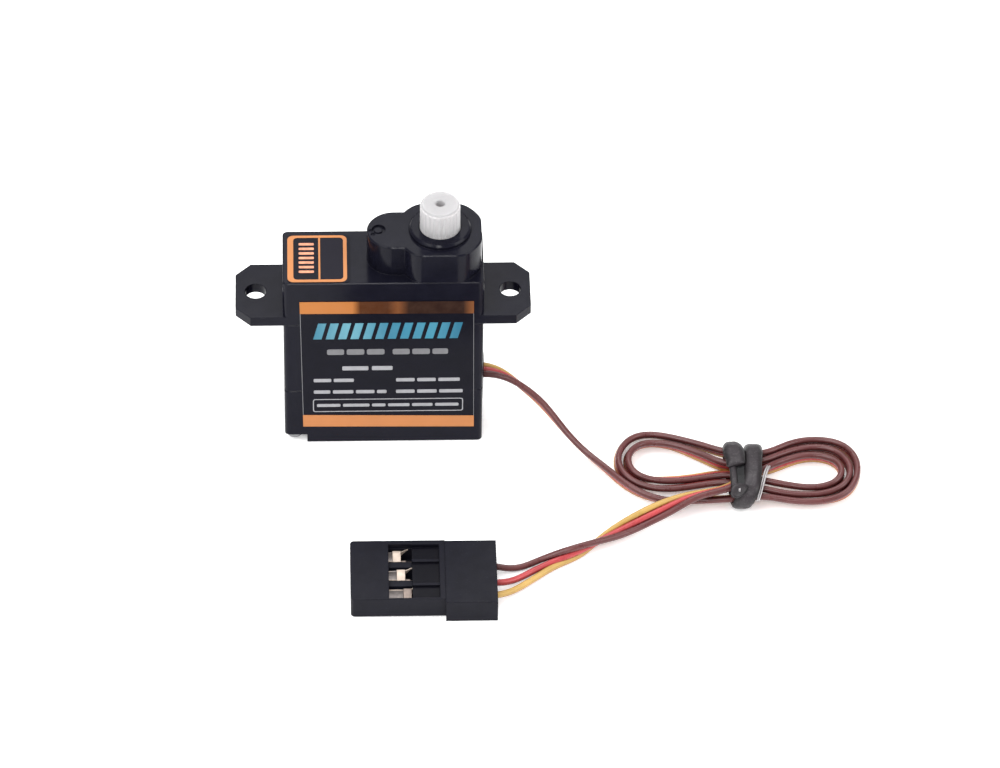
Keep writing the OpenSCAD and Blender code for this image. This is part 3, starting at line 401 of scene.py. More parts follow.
# route rows: kind, x, y, z, then for "b" (the brown wire's own line) the lean in degrees,
# and for "c" (the middle of the ribbon) the way from the yellow wire to the brown one
ROUTE = [
    ("c", 9.9, 0.0, 6.2, (0, -1, 0)), ("c", 10.7, -0.02, 6.2, (0, -1, 0.05)), ("c", 11.4, -0.2, 6.12, (0, -1, 0.22)),
    ("c", 12.2, -0.5, 5.9, (0, -1, 0.50)), ("c", 13.1, -0.86, 5.5, (0, -0.90, 0.80)), ("c", 14.2, -1.38, 4.86, (0, -0.74, 0.86)),
    ("c", 15.4, -2.02, 4.1, (0, -0.62, 0.90)), ("c", 16.5, -2.86, 3.28, (0, -0.60, 0.90)), ("c", 17.6, -4.0, 2.45, (0, -0.70, 0.74)),
    ("c", 18.9, -5.5, 1.70, (0, -0.74, 0.70)), ("c", 20.3, -6.96, 1.15, (0, -0.74, 0.70)), ("c", 21.7, -8.43, 0.95, (0, -0.72, 0.72)),
    ("c", 23.08, -10.15, 0.88, (0, -0.55, 0.83)), ("c", 24.45, -11.75, 0.92, (0, -0.55, 0.83)),
    ("b", 26.2, -13.25, 1.30, 46), ("b", 27.8, -13.9, 1.28, 48), ("b", 29.4, -14.0, 1.27, 50), ("b", 31.3, -13.95, 1.25, 50),
    ("b", 33.2, -13.85, 1.25, 50), ("b", 35.2, -13.7, 1.25, 48), ("b", 37.5, -13.4, 1.27, 46),
    # right loop, outer
    ("b", 39.6, -14.0, 1.35, 45), ("b", 41.2, -14.3, 1.35, 45), ("b", 42.9, -14.4, 1.35, 45), ("b", 44.6, -14.0, 1.35, 45),
    ("b", 45.8, -13.4, 1.35, 45), ("b", 46.7, -12.1, 1.35, 45), ("b", 47.2, -10.5, 1.35, 42), ("b", 47.3, -8.8, 1.35, 40),
    ("b", 46.7, -7.1, 1.35, 38), ("b", 45.6, -6.1, 1.35, 38), ("b", 44.3, -5.7, 1.35, 38), ("b", 42.6, -5.6, 1.35, 36),
    ("b", 40.9, -6.0, 1.35, 32), ("b", 39.4, -6.8, 1.35, 28), ("b", 38.0, -7.5, 1.35, 26), ("b", 35.9, -7.5, 1.35, 26),
    # left loop, outer
    ("b", 33.9, -7.1, 1.35, 30), ("b", 31.7, -6.1, 1.35, 36), ("b", 30.1, -5.5, 1.35, 40), ("b", 28.4, -4.9, 1.35, 42),
    ("b", 26.8, -4.6, 1.35, 45), ("b", 25.6, -4.7, 1.35, 45), ("b", 24.5, -5.4, 1.35, 45), ("b", 23.7, -6.6, 1.35, 45),
    ("b", 23.3, -8.0, 1.35, 45), ("b", 23.5, -9.4, 1.35, 45), ("b", 24.05, -10.55, 1.35, 60), ("b", 24.9, -11.45, 1.35, 55),
    ("b", 26.2, -12.1, 1.35, 46), ("b", 27.7, -12.4, 1.35, 48), ("b", 29.4, -12.3, 1.35, 48), ("b", 31.4, -11.9, 1.35, 48),
    ("b", 33.8, -11.5, 1.35, 48), ("b", 35.8, -11.9, 1.35, 46),
    # right loop, middle
    ("b", 37.8, -12.5, 1.35, 45), ("b", 40.0, -13.2, 1.35, 45), ("b", 41.8, -13.4, 1.35, 45), ("b", 43.5, -13.3, 1.35, 45),
    ("b", 44.8, -12.9, 1.35, 45), ("b", 45.9, -12.1, 1.35, 45), ("b", 46.4, -10.9, 1.35, 42), ("b", 46.6, -9.5, 1.35, 40),
    ("b", 46.1, -8.2, 1.35, 38), ("b", 45.2, -7.2, 1.35, 38), ("b", 44.1, -6.7, 1.35, 36), ("b", 42.6, -6.7, 1.35, 34),
    ("b", 40.9, -7.1, 1.35, 30), ("b", 39.5, -7.7, 1.35, 26), ("b", 38.0, -8.5, 1.35, 24), ("b", 35.9, -8.9, 1.35, 22),
    # left loop, inner
    ("b", 33.8, -8.8, 1.35, 20), ("b", 32.0, -7.6, 1.35, 22), ("b", 30.3, -6.7, 1.35, 28), ("b", 28.7, -6.0, 1.35, 36),
    ("b", 27.0, -5.8, 1.35, 42), ("b", 25.9, -5.9, 1.35, 45), ("b", 25.0, -6.5, 1.35, 45), ("b", 24.4, -7.6, 1.35, 45),
    ("b", 24.3, -8.7, 1.35, 45), ("b", 24.7, -9.9, 1.35, 45), ("b", 25.5, -10.7, 1.35, 46), ("b", 26.6, -11.1, 1.35, 50),
    ("b", 28.1, -11.3, 1.35, 52), ("b", 29.8, -11.2, 1.35, 54), ("b", 31.5, -10.92, 1.35, 54), ("b", 33.8, -10.5, 1.35, 54),
    ("b", 36.0, -10.7, 1.35, 50),
    # right loop, inner
    ("b", 38.1, -11.4, 1.35, 45), ("b", 39.9, -11.9, 1.35, 45), ("b", 41.5, -12.3, 1.35, 45), ("b", 43.2, -12.4, 1.35, 45),
    ("b", 44.5, -12.1, 1.35, 45), ("b", 45.4, -11.3, 1.35, 42), ("b", 45.8, -10.2, 1.35, 40), ("b", 45.6, -9.3, 1.35, 38),
    ("b", 45.0, -8.4, 1.35, 36), ("b", 43.8, -7.9, 1.35, 32), ("b", 42.5, -7.7, 1.35, 28), ("b", 41.0, -8.1, 1.38, 24),
    ("b", 39.6, -8.8, 1.50, 20), ("b", 38.4, -9.7, 1.80, 22),
    # over the other strands, under the tie
    ("c", 37.3, -10.5, 1.95, (0, -0.75, 0.6)), ("c", 36.3, -11.6, 2.25, (0, -0.85, 0.5)), ("c", 35.3, -12.6, 2.45, (0, -0.85, 0.5)),
    ("c", 34.4, -13.2, 2.4, (0, -0.78, 0.62)), ("c", 33.46, -13.62, 2.37, (0, -0.765, 0.645)), ("c", 32.2, -13.88, 2.33, (0, -0.77, 0.64)),
    ("c", 30.8, -14.18, 2.24, (0, -0.85, 0.49)), ("c", 29.41, -14.7, 2.08, (0, -0.97, 0.13)), ("c", 28.2, -15.32, 1.9, (0, -0.94, -0.25)),
    ("c", 27.1, -15.78, 1.74, (0, -0.84, -0.52)), ("c", 26.0, -16.3, 1.52, (0, -0.78, -0.66)), ("c", 24.78, -16.93, 1.34, (0, -0.85, -0.45)),
    ("c", 22.9, -17.97, 1.05, (0, -0.98, 0.0)), ("c", 21.4, -18.88, 0.98, (0, -0.85, 0.5)),
    ("c", 20.3, -19.68, 0.98, (0, -0.45, 0.9)), ("c", 19.2, -20.4, 0.98, (0, -0.05, 1.0)), ("c", 18.2, -20.85, 0.9, (0, 0.30, 0.94))]
FAN = {
    "brown": [(17.2, -20.82, 1.22), (15.90, -21.02, 0.75), (14.76, -21.35, 0.50), (13.22, -22.2, 0.40), (12.06, -22.45, 0.50),
              (11.02, -22.28, 0.73), (10.2, -22.15, 0.85), (9.2, -22.0, 0.95), (8.2, -21.9, 1.0)],
    "red": [(17.39, -21.18, 0.75), (15.87, -21.75, 0.50), (14.72, -22.38, 0.42), (13.18, -23.49, 0.40), (12.01, -24.30, 0.60),
            (10.99, -24.7, 0.90), (10.2, -24.68, 1.0), (9.2, -24.5, 1.0), (8.2, -24.35, 1.0)],
    "yellow": [(17.40, -21.31, 0.36), (16.62, -21.93, 0.36), (15.85, -22.43, 0.36), (14.68, -23.47, 0.38), (13.14, -24.74, 0.42),
               (11.97, -25.75, 0.60), (11.02, -26.3, 0.92), (10.2, -26.42, 1.0), (9.2, -26.55, 1.0), (8.2, -26.7, 1.0)]}


def unit(v):
    v = np.asarray(v, float)
    return v / np.linalg.norm(v)


def catmull(P, per=10):
    """A smooth curve through P, centripetal, per points a stretch."""
    P = np.asarray(P, float)
    Q = np.vstack([2 * P[0] - P[1], P, 2 * P[-1] - P[-2]])
    out = []
    for i in range(1, len(Q) - 2):
        p0, p1, p2, p3 = Q[i - 1:i + 3]
        t = [0.0]
        for a, b in ((p0, p1), (p1, p2), (p2, p3)):
            t.append(t[-1] + max(1e-6, np.linalg.norm(b - a)) ** 0.5)
        for k in range(per):
            s = t[1] + (t[2] - t[1]) * k / per
            a1 = (t[1] - s) / (t[1] - t[0]) * p0 + (s - t[0]) / (t[1] - t[0]) * p1
            a2 = (t[2] - s) / (t[2] - t[1]) * p1 + (s - t[1]) / (t[2] - t[1]) * p2
            a3 = (t[3] - s) / (t[3] - t[2]) * p2 + (s - t[2]) / (t[3] - t[2]) * p3
            b1 = (t[2] - s) / (t[2] - t[0]) * a1 + (s - t[0]) / (t[2] - t[0]) * a2
            b2 = (t[3] - s) / (t[3] - t[1]) * a2 + (s - t[1]) / (t[3] - t[1]) * a3
            out.append((t[2] - s) / (t[2] - t[1]) * b1 + (s - t[1]) / (t[2] - t[1]) * b2)
    out.append(P[-1])
    return np.array(out)


def resample(P, step):
    s = np.concatenate([[0], np.cumsum(np.linalg.norm(np.diff(P, axis=0), axis=1))])
    n = max(2, int(round(s[-1] / step)))
    t = np.linspace(0, s[-1], n + 1)
    return np.stack([np.interp(t, s, P[:, k]) for k in range(P.shape[1])], 1)


def smooth(P, times, keep=1):
    P = P.copy()
    for _ in range(times):
        Q = P.copy()
        Q[keep:-keep] = 0.25 * P[keep - 1:-keep - 1] + 0.5 * P[keep:-keep] + 0.25 * (P[keep + 1:len(P) - keep + 1])
        P = Q
    return P


def length_of(P):
    return float(np.linalg.norm(np.diff(P, axis=0), axis=1).sum())


raw = np.array([r[1:4] for r in ROUTE], float)
centre, across = [], []
for i, r in enumerate(ROUTE):
    a, b = raw[max(0, i - 1)], raw[min(len(raw) - 1, i + 1)]
    t = unit(b - a)
    if r[0] == "b":
        n = np.array([t[1], -t[0], 0.0])
        n = n / max(1e-6, np.linalg.norm(n))
        if n[1] > 0:
            n = -n
        s = math.sin(math.radians(r[4])) * abs(t[0])
        w = np.array([0, 0, 1.0]) * math.sqrt(1 - s * s) + n * s
        w = unit(w - t * w.dot(t))
        p = raw[i].copy()
        rise = 0.36 + 2 * D * w[2] - p[2]
        if rise > 0 or p[2] < 1.4:  # the yellow wire rests on the floor
            p[2] += rise
            p[1] -= 1.03 * rise
        centre.append(p - D * w)
    else:
        w = np.array(r[4], float)
        w = unit(w - t * w.dot(t))
        centre.append(raw[i])
    across.append(w)
both = catmull(np.hstack([np.array(centre), np.array(across)]), 10)
both = resample(both, 0.5)
both = np.hstack([smooth(both[:, :3], 2), smooth(both[:, 3:], 6)])
C, W = both[:, :3], both[:, 3:]
T = np.gradient(C, axis=0)
T /= np.linalg.norm(T, axis=1)[:, None]
W = W - T * (W * T).sum(1)[:, None]
W /= np.linalg.norm(W, axis=1)[:, None]
low = np.minimum(C[:, 2] - D * np.abs(W[:, 2]), C[:, 2])
floor_z = 0.335 + 0.32 * np.clip((C[:, 0] - 31.6) / 2.0, 0, 1) * np.clip((40.2 - C[:, 0]) / 2.2, 0, 1) * (C[:, 1] > -14.9)
rise = np.maximum(0, floor_z - low)
for _ in range(12):
    rise[1:-1] = np.maximum(rise[1:-1], 0.5 * (rise[:-2] + rise[2:]) * 0.98)
C[:, 2] += rise
C[:, 1] -= 1.03 * rise

WIRES = {}
for name, side in (("brown", 1.0), ("red", 0.0), ("yellow", -1.0)):
    P = np.vstack([C + side * 0.985 * D * W, catmull(FAN[name], 6)])
    P = resample(P, 0.5)
    tail = len(P) - int(13 / 0.5)
    P[tail - 22:] = np.vstack([P[tail - 22:tail - 21], smooth(P[tail - 22:], 5)[1:]])
    P = resample(smooth(P, 1), 0.9)
    P[:, 2] = np.maximum(P[:, 2], 0.335)
    P[0] = (9.9, -side * D, 6.2)
    WIRES[name] = P


def wire(name, P, key):
    cu = bpy.data.curves.new(name, "CURVE")
    cu.dimensions = "3D"
    sp = cu.splines.new("NURBS")
    sp.points.add(len(P) - 1)
    for k, p in enumerate(P):
        sp.points[k].co = (*(p * MM), 1.0)
    sp.order_u = 4
    sp.use_endpoint_u = True
    sp.resolution_u = 3
    cu.resolution_u = 3
    cu.bevel_depth = D / 2 * MM
    cu.bevel_resolution = 4
    cu.use_fill_caps = True
    cu.materials.append(M[key])
    ob = link(bpy.data.objects.new(name, cu))
    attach(ob, "servo_body")
    return ob


wires = {n: wire("wire_" + n, P, n) for n, P in WIRES.items()}
for n, ob in wires.items():
    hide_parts("lead_in", "cable_hank", "lead_out")


# ---------------------------------------------------------------- mesh helpers

def mesh_object(name, bm, keys, smooth_angle=None, body="servo_body"):
    bmesh.ops.recalc_face_normals(bm, faces=bm.faces)
    me = bpy.data.meshes.new(name)
    bm.to_mesh(me)
    bm.free()
    for k in keys:
        me.materials.append(M[k])
    ob = link(bpy.data.objects.new(name, me))
    if smooth_angle is not None:
        me.polygons.foreach_set("use_smooth", [True] * len(me.polygons))
        me.set_sharp_from_angle(angle=math.radians(smooth_angle))
    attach(ob, body)
    return ob


def prism(bm, outline, height, place, mat=0):
    """A closed flat solid: outline in 2D, thickness height, place(u, v, h) gives the point in mm."""
    n = len(outline)
    lo = [bm.verts.new(Vector(place(u, v, 0.0)) * MM) for u, v in outline]
    hi = [bm.verts.new(Vector(place(u, v, height)) * MM) for u, v in outline]
    fs = [bm.faces.new(lo[::-1]), bm.faces.new(hi)]
    for i in range(n):
        fs.append(bm.faces.new((lo[i], lo[(i + 1) % n], hi[(i + 1) % n], hi[i])))
    for f in fs:
        f.material_index = mat


def rounded(x0, y0, x1, y1, r, seg=4):
    pts = []
    for cx, cy, a in ((x1 - r, y0 + r, -90), (x1 - r, y1 - r, 0), (x0 + r, y1 - r, 90), (x0 + r, y0 + r, 180)):
        for k in range(seg + 1):
            t = math.radians(a + 90 * k / seg)
            pts.append((cx + r * math.cos(t), cy + r * math.sin(t)))
    return pts


def ring_prism(bm, outer, inner, height, place, mat=0):
    """A closed frame between two outlines with the same number of points."""
    n = len(outer)
    rows = [[bm.verts.new(Vector(place(u, v, h)) * MM) for u, v in line] for line, h in
            ((outer, 0.0), (inner, 0.0), (inner, height), (outer, height))]
    for i in range(n):
        j = (i + 1) % n
        for a in range(4):
            b = (a + 1) % 4
            bm.faces.new((rows[a][i], rows[a][j], rows[b][j], rows[b][i])).material_index = mat


def block(bm, lo, hi, r=0.03, mat=0, seg=2):
    """A box with rounded edges, corners in mm."""
    lo, hi = Vector(lo), Vector(hi)
    old = set(bm.faces)
    res = bmesh.ops.create_cube(bm, size=1.0)
    for v in res["verts"]:
        v.co = Vector([(lo[i] + hi[i]) / 2 + v.co[i] * (hi[i] - lo[i]) for i in range(3)]) * MM
    edges = list({e for v in res["verts"] for e in v.link_edges})
    bmesh.ops.bevel(bm, geom=edges, offset=r * MM, segments=seg, profile=0.6, affect="EDGES")
    for f in bm.faces:
        if f not in old:
            f.material_index = mat


def plate(bm, pts, thick, mat=0):
    """A thin closed plate through a strip of (x, y, z0, z1) posts, thick across y."""
    rows = []
    n = len(pts)
    for i, (x, y, z0, z1) in enumerate(pts):
        a, b = pts[max(0, i - 1)], pts[min(n - 1, i + 1)]
        t = Vector((b[0] - a[0], b[1] - a[1], 0)).normalized()
        nn = Vector((-t.y, t.x, 0)) * (thick / 2)
        rows.append([bm.verts.new((Vector((x, y, z)) + sgn * nn) * MM) for z, sgn in ((z0, 1), (z1, 1), (z1, -1), (z0, -1))])
    fs = [bm.faces.new(rows[0]), bm.faces.new(rows[-1][::-1])]
    for i in range(n - 1):
        for a in range(4):
            b = (a + 1) % 4
            fs.append(bm.faces.new((rows[i][a], rows[i + 1][a], rows[i + 1][b], rows[i][b])))
    for f in fs:
        f.tag = True
        f.material_index = mat


def wob(*k):
    """A fixed pseudo-random number from -1 to 1."""
    v = math.sin(sum((i + 1) * 12.9898 * x for i, x in enumerate(k)) + 4.1414) * 43758.5453
    return 2 * (v - math.floor(v)) - 1


def strip(bm, rows, seg=20, power=0.62, crease=0.0, mat=0, shear=0.0, grain=0.02):
    """A puffy closed strip. rows: x, y, z, half width, half thickness; it faces away from the bundle's middle."""
    R = catmull(np.array(rows, float), 7)
    P = R[:, :3]
    T = np.gradient(P, axis=0)
    T /= np.linalg.norm(T, axis=1)[:, None]
    rings = []
    n = len(R)
    for i in range(n):
        t = T[i]
        nrm = np.cross(np.array([1.0, 0, 0]), t)
        nrm /= np.linalg.norm(nrm)
        out = P[i] - np.array([P[i][0], -10.9, 1.45])
        if nrm.dot(out) < 0:
            nrm = -nrm
        side = np.cross(t, nrm)
        side /= np.linalg.norm(side)
        if side[0] < 0:
            side = -side
        end = min(i, n - 1 - i)
        cap = [0.45, 0.8, 0.94][end] if end < 3 else 1.0
        ring = []
        for k in range(seg):
            th = 2 * math.pi * k / seg
            c, sn = math.cos(th), math.sin(th)
            u = math.copysign(abs(c) ** power, c)
            v = math.copysign(abs(sn) ** power, sn)
            a = R[i][3] * (1 + 0.02 * math.sin(i * 0.55)) * (0.9 + 0.1 * cap)
            h = R[i][4] * cap
            dent = crease * math.exp(-(u / 0.22) ** 2) * (1 if sn > 0 else 0)
            q = P[i] + side * u * a + nrm * (v * h - dent) + nrm * grain * wob(i * 0.37, k * 1.7) * (1 if sn > 0 else 0)
            q = q - t * shear * u * max(0.0, 1 - i / 7.0)
            ring.append(bm.verts.new(Vector(q) * MM))
        rings.append(ring)
    fs = []
    for i in range(n - 1):
        for k in range(seg):
            j = (k + 1) % seg
            fs.append(bm.faces.new((rings[i][k], rings[i][j], rings[i + 1][j], rings[i + 1][k])))
    fs += [bm.faces.new(rings[0][::-1]), bm.faces.new(rings[-1])]
    for f in fs:
        f.material_index = mat
        f.tag = True


def tube(bm, pts, r, seg=10, mat=0):
    P = catmull(np.array(pts, float), 5)
    T = np.gradient(P, axis=0)
    T /= np.linalg.norm(T, axis=1)[:, None]
    rings = []
    up = np.array([0, 0.3, 1.0])
    for p, t in zip(P, T):
        a = np.cross(t, up)
        a /= np.linalg.norm(a)
        b = np.cross(t, a)
        rings.append([bm.verts.new(Vector(p + r * (math.cos(2 * math.pi * k / seg) * a + math.sin(2 * math.pi * k / seg) * b)) * MM)
                      for k in range(seg)])
    for i in range(len(rings) - 1):
        for k in range(seg):
            j = (k + 1) % seg
            bm.faces.new((rings[i][k], rings[i][j], rings[i + 1][j], rings[i + 1][k])).material_index = mat
    bm.faces.new(rings[0][::-1]).material_index = mat
    bm.faces.new(rings[-1]).material_index = mat


# ---------------------------------------------------------------- the twist tie

bm = bmesh.new()
strip(bm, [
    (35.00, -11.15, 3.34, 0.92, 0.30), (34.98, -10.4, 3.26, 1.00, 0.40), (34.90, -9.3, 3.10, 1.08, 0.46), (34.82, -8.3, 2.86, 1.06, 0.52),
    (34.76, -7.55, 2.44, 0.86, 0.54), (34.78, -7.05, 1.75, 0.74, 0.46), (34.82, -7.0, 1.1, 0.9, 0.3), (34.9, -7.4, 0.45, 0.9, 0.18),
    (35.0, -8.6, 0.18, 0.92, 0.14), (35.2, -11.0, 0.17, 0.96, 0.14), (35.38, -13.0, 0.22, 0.98, 0.2), (35.42, -14.0, 0.6, 0.95, 0.34),
    (35.45, -14.5, 1.2, 0.98, 0.42), (35.62, -14.62, 1.85, 1.0, 0.44), (35.95, -14.42, 2.45, 0.96, 0.42), (36.3, -13.8, 2.86, 0.92, 0.40),
    (36.52, -12.7, 3.08, 0.90, 0.40), (36.68, -11.2, 3.04, 0.90, 0.42), (36.8, -9.6, 2.86, 0.92, 0.44), (36.88, -8.3, 2.58, 0.94, 0.46),
    (36.9, -7.5, 2.14, 0.90, 0.46), (36.9, -7.05, 1.5, 0.84, 0.38), (36.9, -7.2, 0.8, 0.82, 0.26), (36.9, -7.9, 0.25, 0.84, 0.16),
    (36.9, -9.2, 0.16, 0.88, 0.13), (36.9, -10.6, 0.16, 0.86, 0.12)],
    power=0.9, crease=0.04, shear=-0.26, grain=0.022, seg=28)
tie_main = mesh_object("tie_strip", bm, ["tie"], 50)
bm = bmesh.new()
strip(bm, [(34.62, -10.6, 3.06, 0.36, 0.16), (34.64, -11.8, 3.2, 0.36, 0.18), (34.66, -12.9, 3.3, 0.36, 0.19), (34.68, -13.8, 3.22, 0.38, 0.19),
           (34.72, -14.4, 2.95, 0.4, 0.16)], power=0.75)
# this strip's material 1 is the painted fold shade
strip(bm, [(35.45, -10.6, 2.98, 0.56, 0.10), (35.46, -11.8, 3.1, 0.56, 0.11), (35.45, -12.9, 3.19, 0.54, 0.11), (35.42, -13.8, 3.1, 0.5, 0.1),
           (35.4, -14.3, 2.85, 0.46, 0.09)], mat=1, crease=0.05)
tie_end = mesh_object("tie_folded_end", bm, ["tie", "tie_fold_shade"], 50)
# flattened tip, lying on the strands
bm = bmesh.new()
TA, TT = Vector((1, 0.215, -0.209)), Vector((0, -0.925, -0.38))
TN = -TA.cross(TT).normalized()
T0 = Vector((35.12, -14.56, 3.24))
outline = [(-9.4, 3.3), (-8.4, 5.9), (-5.6, 7.2), (-2.4, 7.4), (1.0, 6.1), (3.8, 4.2), (6.8, 1.0), (9.4, -2.2), (9.2, -4.2), (7.6, -5.6),
           (4.8, -6.6), (1.0, -7.2), (-3.0, -7.0), (-6.0, -5.8), (-8.0, -3.4), (-9.2, 0.0)]
layers = [(0.80, -0.20), (0.95, -0.13), (1.0, -0.02), (0.96, 0.07), (0.84, 0.125), (0.5, 0.15)]
rings = [[bm.verts.new((T0 + TA * (u / 9.94 * k) + TT * (v / 9.13 * k) + TN * (h + 0.012 * wob(u, v, h))) * MM) for u, v in outline]
         for k, h in layers]
for a, b in zip(rings, rings[1:]):
    for k in range(len(outline)):
        j = (k + 1) % len(outline)
        bm.faces.new((a[k], a[j], b[j], b[k]))
bm.faces.new(rings[0][::-1])
bm.faces.new(rings[-1])
tie_tip = mesh_object("tie_flat_tip", bm, ["tie"], 60)
bm = bmesh.new()
tube(bm, [T0 + TN * 0.1 + TT * 0.12 + TA * -0.06, T0 + TN * 0.19 + TT * 0.02 + TA * -0.06, T0 + TN * 0.24 + TT * -0.12 + TA * -0.1], 0.12)
tie_point = mesh_object("tie_wire_tip", bm, ["tie_metal"], 60)
bm = bmesh.new()
for off in (-0.1, 0.12):
    tube(bm, [(38.24 + off, -10.75, 2.8), (37.98 + off, -11.4, 2.82), (37.66 + off, -12.5, 2.72), (37.3 + off, -13.75, 2.42), (36.98 + off * 0.8, -14.78, 2.0)],
         0.10, seg=14)
tie_metal = mesh_object("tie_bare_wire", bm, ["tie_metal"], 60)
for ob in (tie_main, tie_end, tie_tip):
    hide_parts("twist_tie")
for ob in (tie_point, tie_metal):
    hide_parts("tie_wire")

# ---------------------------------------------------------------- plug contacts

PX, PY = -3.55, -24.25
# painted shade: material 1, the deepest shaded copy of the contact metal, goes on the spring box; material 2, a dimmer
# copy, on the lower flare, neck, crimp barrel and the third contact's leaf
for k, (xa, xb, flare, in_shade) in enumerate(((0.62, 1.42, 1, 0), (1.0, 1.82, 1, 0), (1.62, 2.42, 0, 1))):
    yk = PY + (1 - k) * 2.54
    bm = bmesh.new()
    # spring box around the pin
    block(bm, (PX + 0.8, yk - 0.62, 0.42), (xb, yk + 0.62, 0.56), mat=1)
    block(bm, (PX + 0.8, yk - 0.64, 0.5), (xb + 0.02, yk - 0.50, 1.66), mat=1)
    block(bm, (PX + 0.8, yk + 0.50, 0.5), (xb + 0.02, yk + 0.64, 1.66), mat=1)
    block(bm, (PX + 0.8, yk - 0.60, 1.56), (xa - 0.03, yk + 0.60, 1.68), mat=1)
    block(bm, (0.0, yk + 0.52, 1.62), (xa - 0.05, yk + 0.62, 1.72), 0.015, mat=0)
    block(bm, (0.0, yk - 0.62, 1.62), (xa - 0.05, yk - 0.55, 1.70), 0.015, mat=0)
    # folded top leaf
    block(bm, (xa, yk - 0.63, 1.60), (xb, yk + 0.65, 1.77), 0.03, mat=2 if in_shade else 0)
    for v in bm.verts:  # the leaf leans towards the front
        if v.co.z > 1.595 * MM and xa * MM - 1e-6 < v.co.x < xb * MM + 1e-6:
            v.co.z += (0.10 if in_shade else 0.17) * (v.co.y - yk * MM) - 0.00001
    if flare:
        plate(bm, [(xb - 0.02, yk + 0.58, 1.25, 1.76), (xb + 0.25, yk + 0.68, 1.5, 1.80), (xb + 0.5, yk + 0.80, 1.66, 1.84), (xb + 0.72, yk + 0.88, 1.74, 1.86)], 0.08, 0)
        plate(bm, [(xb - 0.02, yk - 0.56, 1.2, 1.66), (xb + 0.22, yk - 0.62, 1.35, 1.66), (xb + 0.42, yk - 0.76, 1.45, 1.62), (xb + 0.58, yk - 0.86, 1.46, 1.58)], 0.08, 2)
        block(bm, (xb + 0.05, yk - 0.42, 0.9), (xb + 0.5, yk - 0.16, 1.36), 0.05, mat=2)
    else:
        plate(bm, [(xb - 0.02, yk + 0.60, 0.8, 1.74), (xb + 0.1, yk + 0.72, 1.3, 1.84)], 0.07, 0)
    # neck and crimp barrel
    block(bm, (xb - 0.05, yk - 0.45, 0.42), (3.3, yk + 0.45, 0.56), mat=2)
    block(bm, (3.2, yk - 0.55, 0.42), (7.4, yk + 0.55, 1.25), 0.16, mat=2, seg=3)
    ob = mesh_object("plug_contact_%d" % (k + 1), bm, ["contact", "contact_deep_shade", "contact_soft_shade"], 35)
    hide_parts("plug_contacts")

# ---------------------------------------------------------------- labels

FRONT_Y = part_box("front_label")[0].y / MM


def front(u, v, h):
    return (u, FRONT_Y - 0.003 - h, v)


def left_edge(z):
    return -8.04 - 0.22 * (z - 2.27) / 17.17


def right_edge(z):
    return 9.06 - 0.16 * (z - 2.05) / 17.31


def band(bm, zl0, zl1, zr0, zr1, mat=0):
    prism(bm, [(left_edge(zl0), zl0), (right_edge(zr0), zr0), (right_edge(zr1), zr1), (left_edge(zl1), zl1)], INK, front, mat)


INK = 0.016
bm = bmesh.new()
band(bm, 17.84, 19.43, 17.70, 19.35)
mesh_object("front_label_copper_band", bm, ["copper_band"])
bm = bmesh.new()
band(bm, 2.28, 3.88, 2.06, 3.58)
mesh_object("front_label_orange_band", bm, ["orange"])
# slanted dashes in place of the headline
bm = bmesh.new()
x = -6.95
while x < 7.2:
    prism(bm, [(x, 14.35), (x + 0.82, 14.35), (x + 1.32, 16.5), (x + 0.5, 16.5)], INK, front, 0)
    x += 1.225
mesh_object("front_label_dashes", bm, ["cyan_ink"])
bm = bmesh.new()
for z0, z1, spans in ((12.2, 12.95, ((-5.6, -3.9), (-3.65, -1.9), (-1.65, 0.1), (0.9, 2.6), (2.85, 4.6), (4.85, 6.4))),):
    for a, b in spans:
        prism(bm, rounded(a, z0, b, z1, 0.2), INK, front, 0)
mesh_object("front_label_grey_bars", bm, ["grey_ink"])
bm = bmesh.new()
for z0, z1, spans in ((10.05, 10.6, ((-4.1, -1.5), (-1.15, 0.9))),
                      (8.45, 8.9, ((-6.95, -5.2), (-4.95, -2.95), (1.25, 3.1), (3.35, 5.2), (5.45, 7.6))),
                      (6.85, 7.3, ((-6.95, -5.3), (-5.05, -3.0), (-2.75, -0.9), (-0.65, 0.3), (1.25, 3.1), (3.35, 5.3), (5.55, 7.9))),
                      (5.0, 5.4, ((-6.65, -4.3), (-4.05, -1.4), (-1.15, 0.2), (0.45, 2.6), (2.85, 4.9), (5.15, 7.5)))):
    for a, b in spans:
        prism(bm, rounded(a, z0, b, z1, 0.12), INK, front, 0)
ring_prism(bm, rounded(-7.05, 4.3, 7.95, 6.08, 0.25), rounded(-6.95, 4.4, 7.85, 5.98, 0.18), INK, front, 0)
mesh_object("front_label_light_bars", bm, ["white_ink"])
bm = bmesh.new()
prism(bm, [(left_edge(3.9), 3.9), (left_edge(3.9) + 0.06, 3.9), (left_edge(17.82) + 0.06, 17.82), (left_edge(17.82), 17.82)], INK, front, 0)
prism(bm, [(right_edge(3.6) - 0.05, 3.6), (right_edge(3.6), 3.6), (right_edge(17.68), 17.68), (right_edge(17.68) - 0.05, 17.68)], INK, front, 0)
mesh_object("front_label_edges", bm, ["grey_ink"])

TOP_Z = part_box("top_label")[1].z / MM


def top(u, v, h):
    return (u, v, TOP_Z + 0.003 + h)


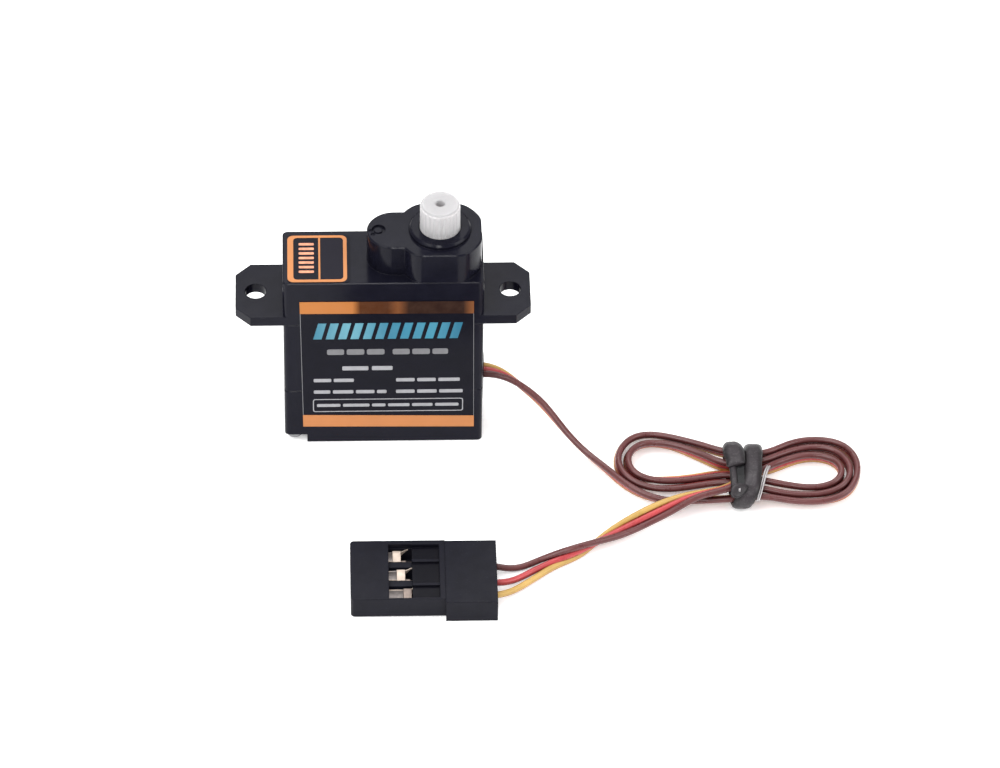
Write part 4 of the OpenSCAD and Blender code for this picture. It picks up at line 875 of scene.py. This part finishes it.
bm = bmesh.new()
ring_prism(bm, rounded(-9.41, -3.62, -3.56, 3.09, 0.6, 6), rounded(-8.83, -3.26, -3.92, 2.76, 0.4, 6), INK, top, 0)
prism(bm, rounded(-6.36, -3.24, -6.18, 2.74, 0.02), INK, top, 0)
mesh_object("top_label_frame", bm, ["orange"])
bm = bmesh.new()
prism(bm, rounded(-6.1, -3.2, -3.98, 2.7, 0.25), INK * 0.8, top, 0)
mesh_object("top_label_panel", bm, ["navy"])
bm = bmesh.new()
for k in range(7):
    y0 = -2.3 + k * 0.66
    prism(bm, rounded(-8.3, y0, -6.8, y0 + 0.34, 0.1), INK, top, 0)
mesh_object("top_label_bars", bm, ["copper_ink"])


# ---------------------------------------------------------------- stage and light

bm = bmesh.new()
bmesh.ops.create_grid(bm, x_segments=1, y_segments=1, size=3.0)
me = bpy.data.meshes.new("floor")
bm.to_mesh(me)
bm.free()
floor = link(bpy.data.objects.new("floor", me))
floor.location = (0, 0, -0.00002)
fm, nt, b = nodes_of("floor_paper")
b.inputs["Base Color"].default_value = (0.93, 0.93, 0.93, 1)
b.inputs["Roughness"].default_value = 0.9
b.inputs["Specular IOR Level"].default_value = 0.1
b.inputs["Emission Color"].default_value = (1, 1, 1, 1)
b.inputs["Emission Strength"].default_value = 0.30
me.materials.append(fm)

world = bpy.data.worlds.new("studio")
world.use_nodes = True
wn = world.node_tree
bg = wn.nodes["Background"]
bg.inputs["Color"].default_value = (1, 1, 1, 1)
bg.inputs["Strength"].default_value = 0.56
scene.world = world


def area(name, loc, target, size, power, size_y=None):
    l = bpy.data.lights.new(name, "AREA")
    l.energy = power
    l.size = size
    if size_y:
        l.shape = "RECTANGLE"
        l.size_y = size_y
    ob = link(bpy.data.objects.new(name, l))
    ob.location = loc
    ob.rotation_mode = "QUATERNION"
    ob.rotation_quaternion = (Vector(target) - Vector(loc)).to_track_quat("-Z", "Y")
    return ob


area("key", (-0.35, -0.25, 0.65), (0.01, -0.01, 0), 0.45, 4.0)
area("front", (-0.03, -0.40, 0.46), (0.01, -0.01, 0), 0.10, 0.75)
area("fill", (0.55, -0.15, 0.45), (0.01, -0.01, 0), 0.4, 2.2)
area("top", (0.0, 0.325, 0.615), (0.01, 0, 0), 0.48, 2.6)

scene.view_settings.view_transform = "Standard"
scene.view_settings.look = "None"

# ---------------------------------------------------------------- cords

for n, ob in wires.items():
    P = WIRES[n]
    print(n, "length mm", round(length_of(P), 1), "lowest", round(float(P[:, 2].min()), 3))
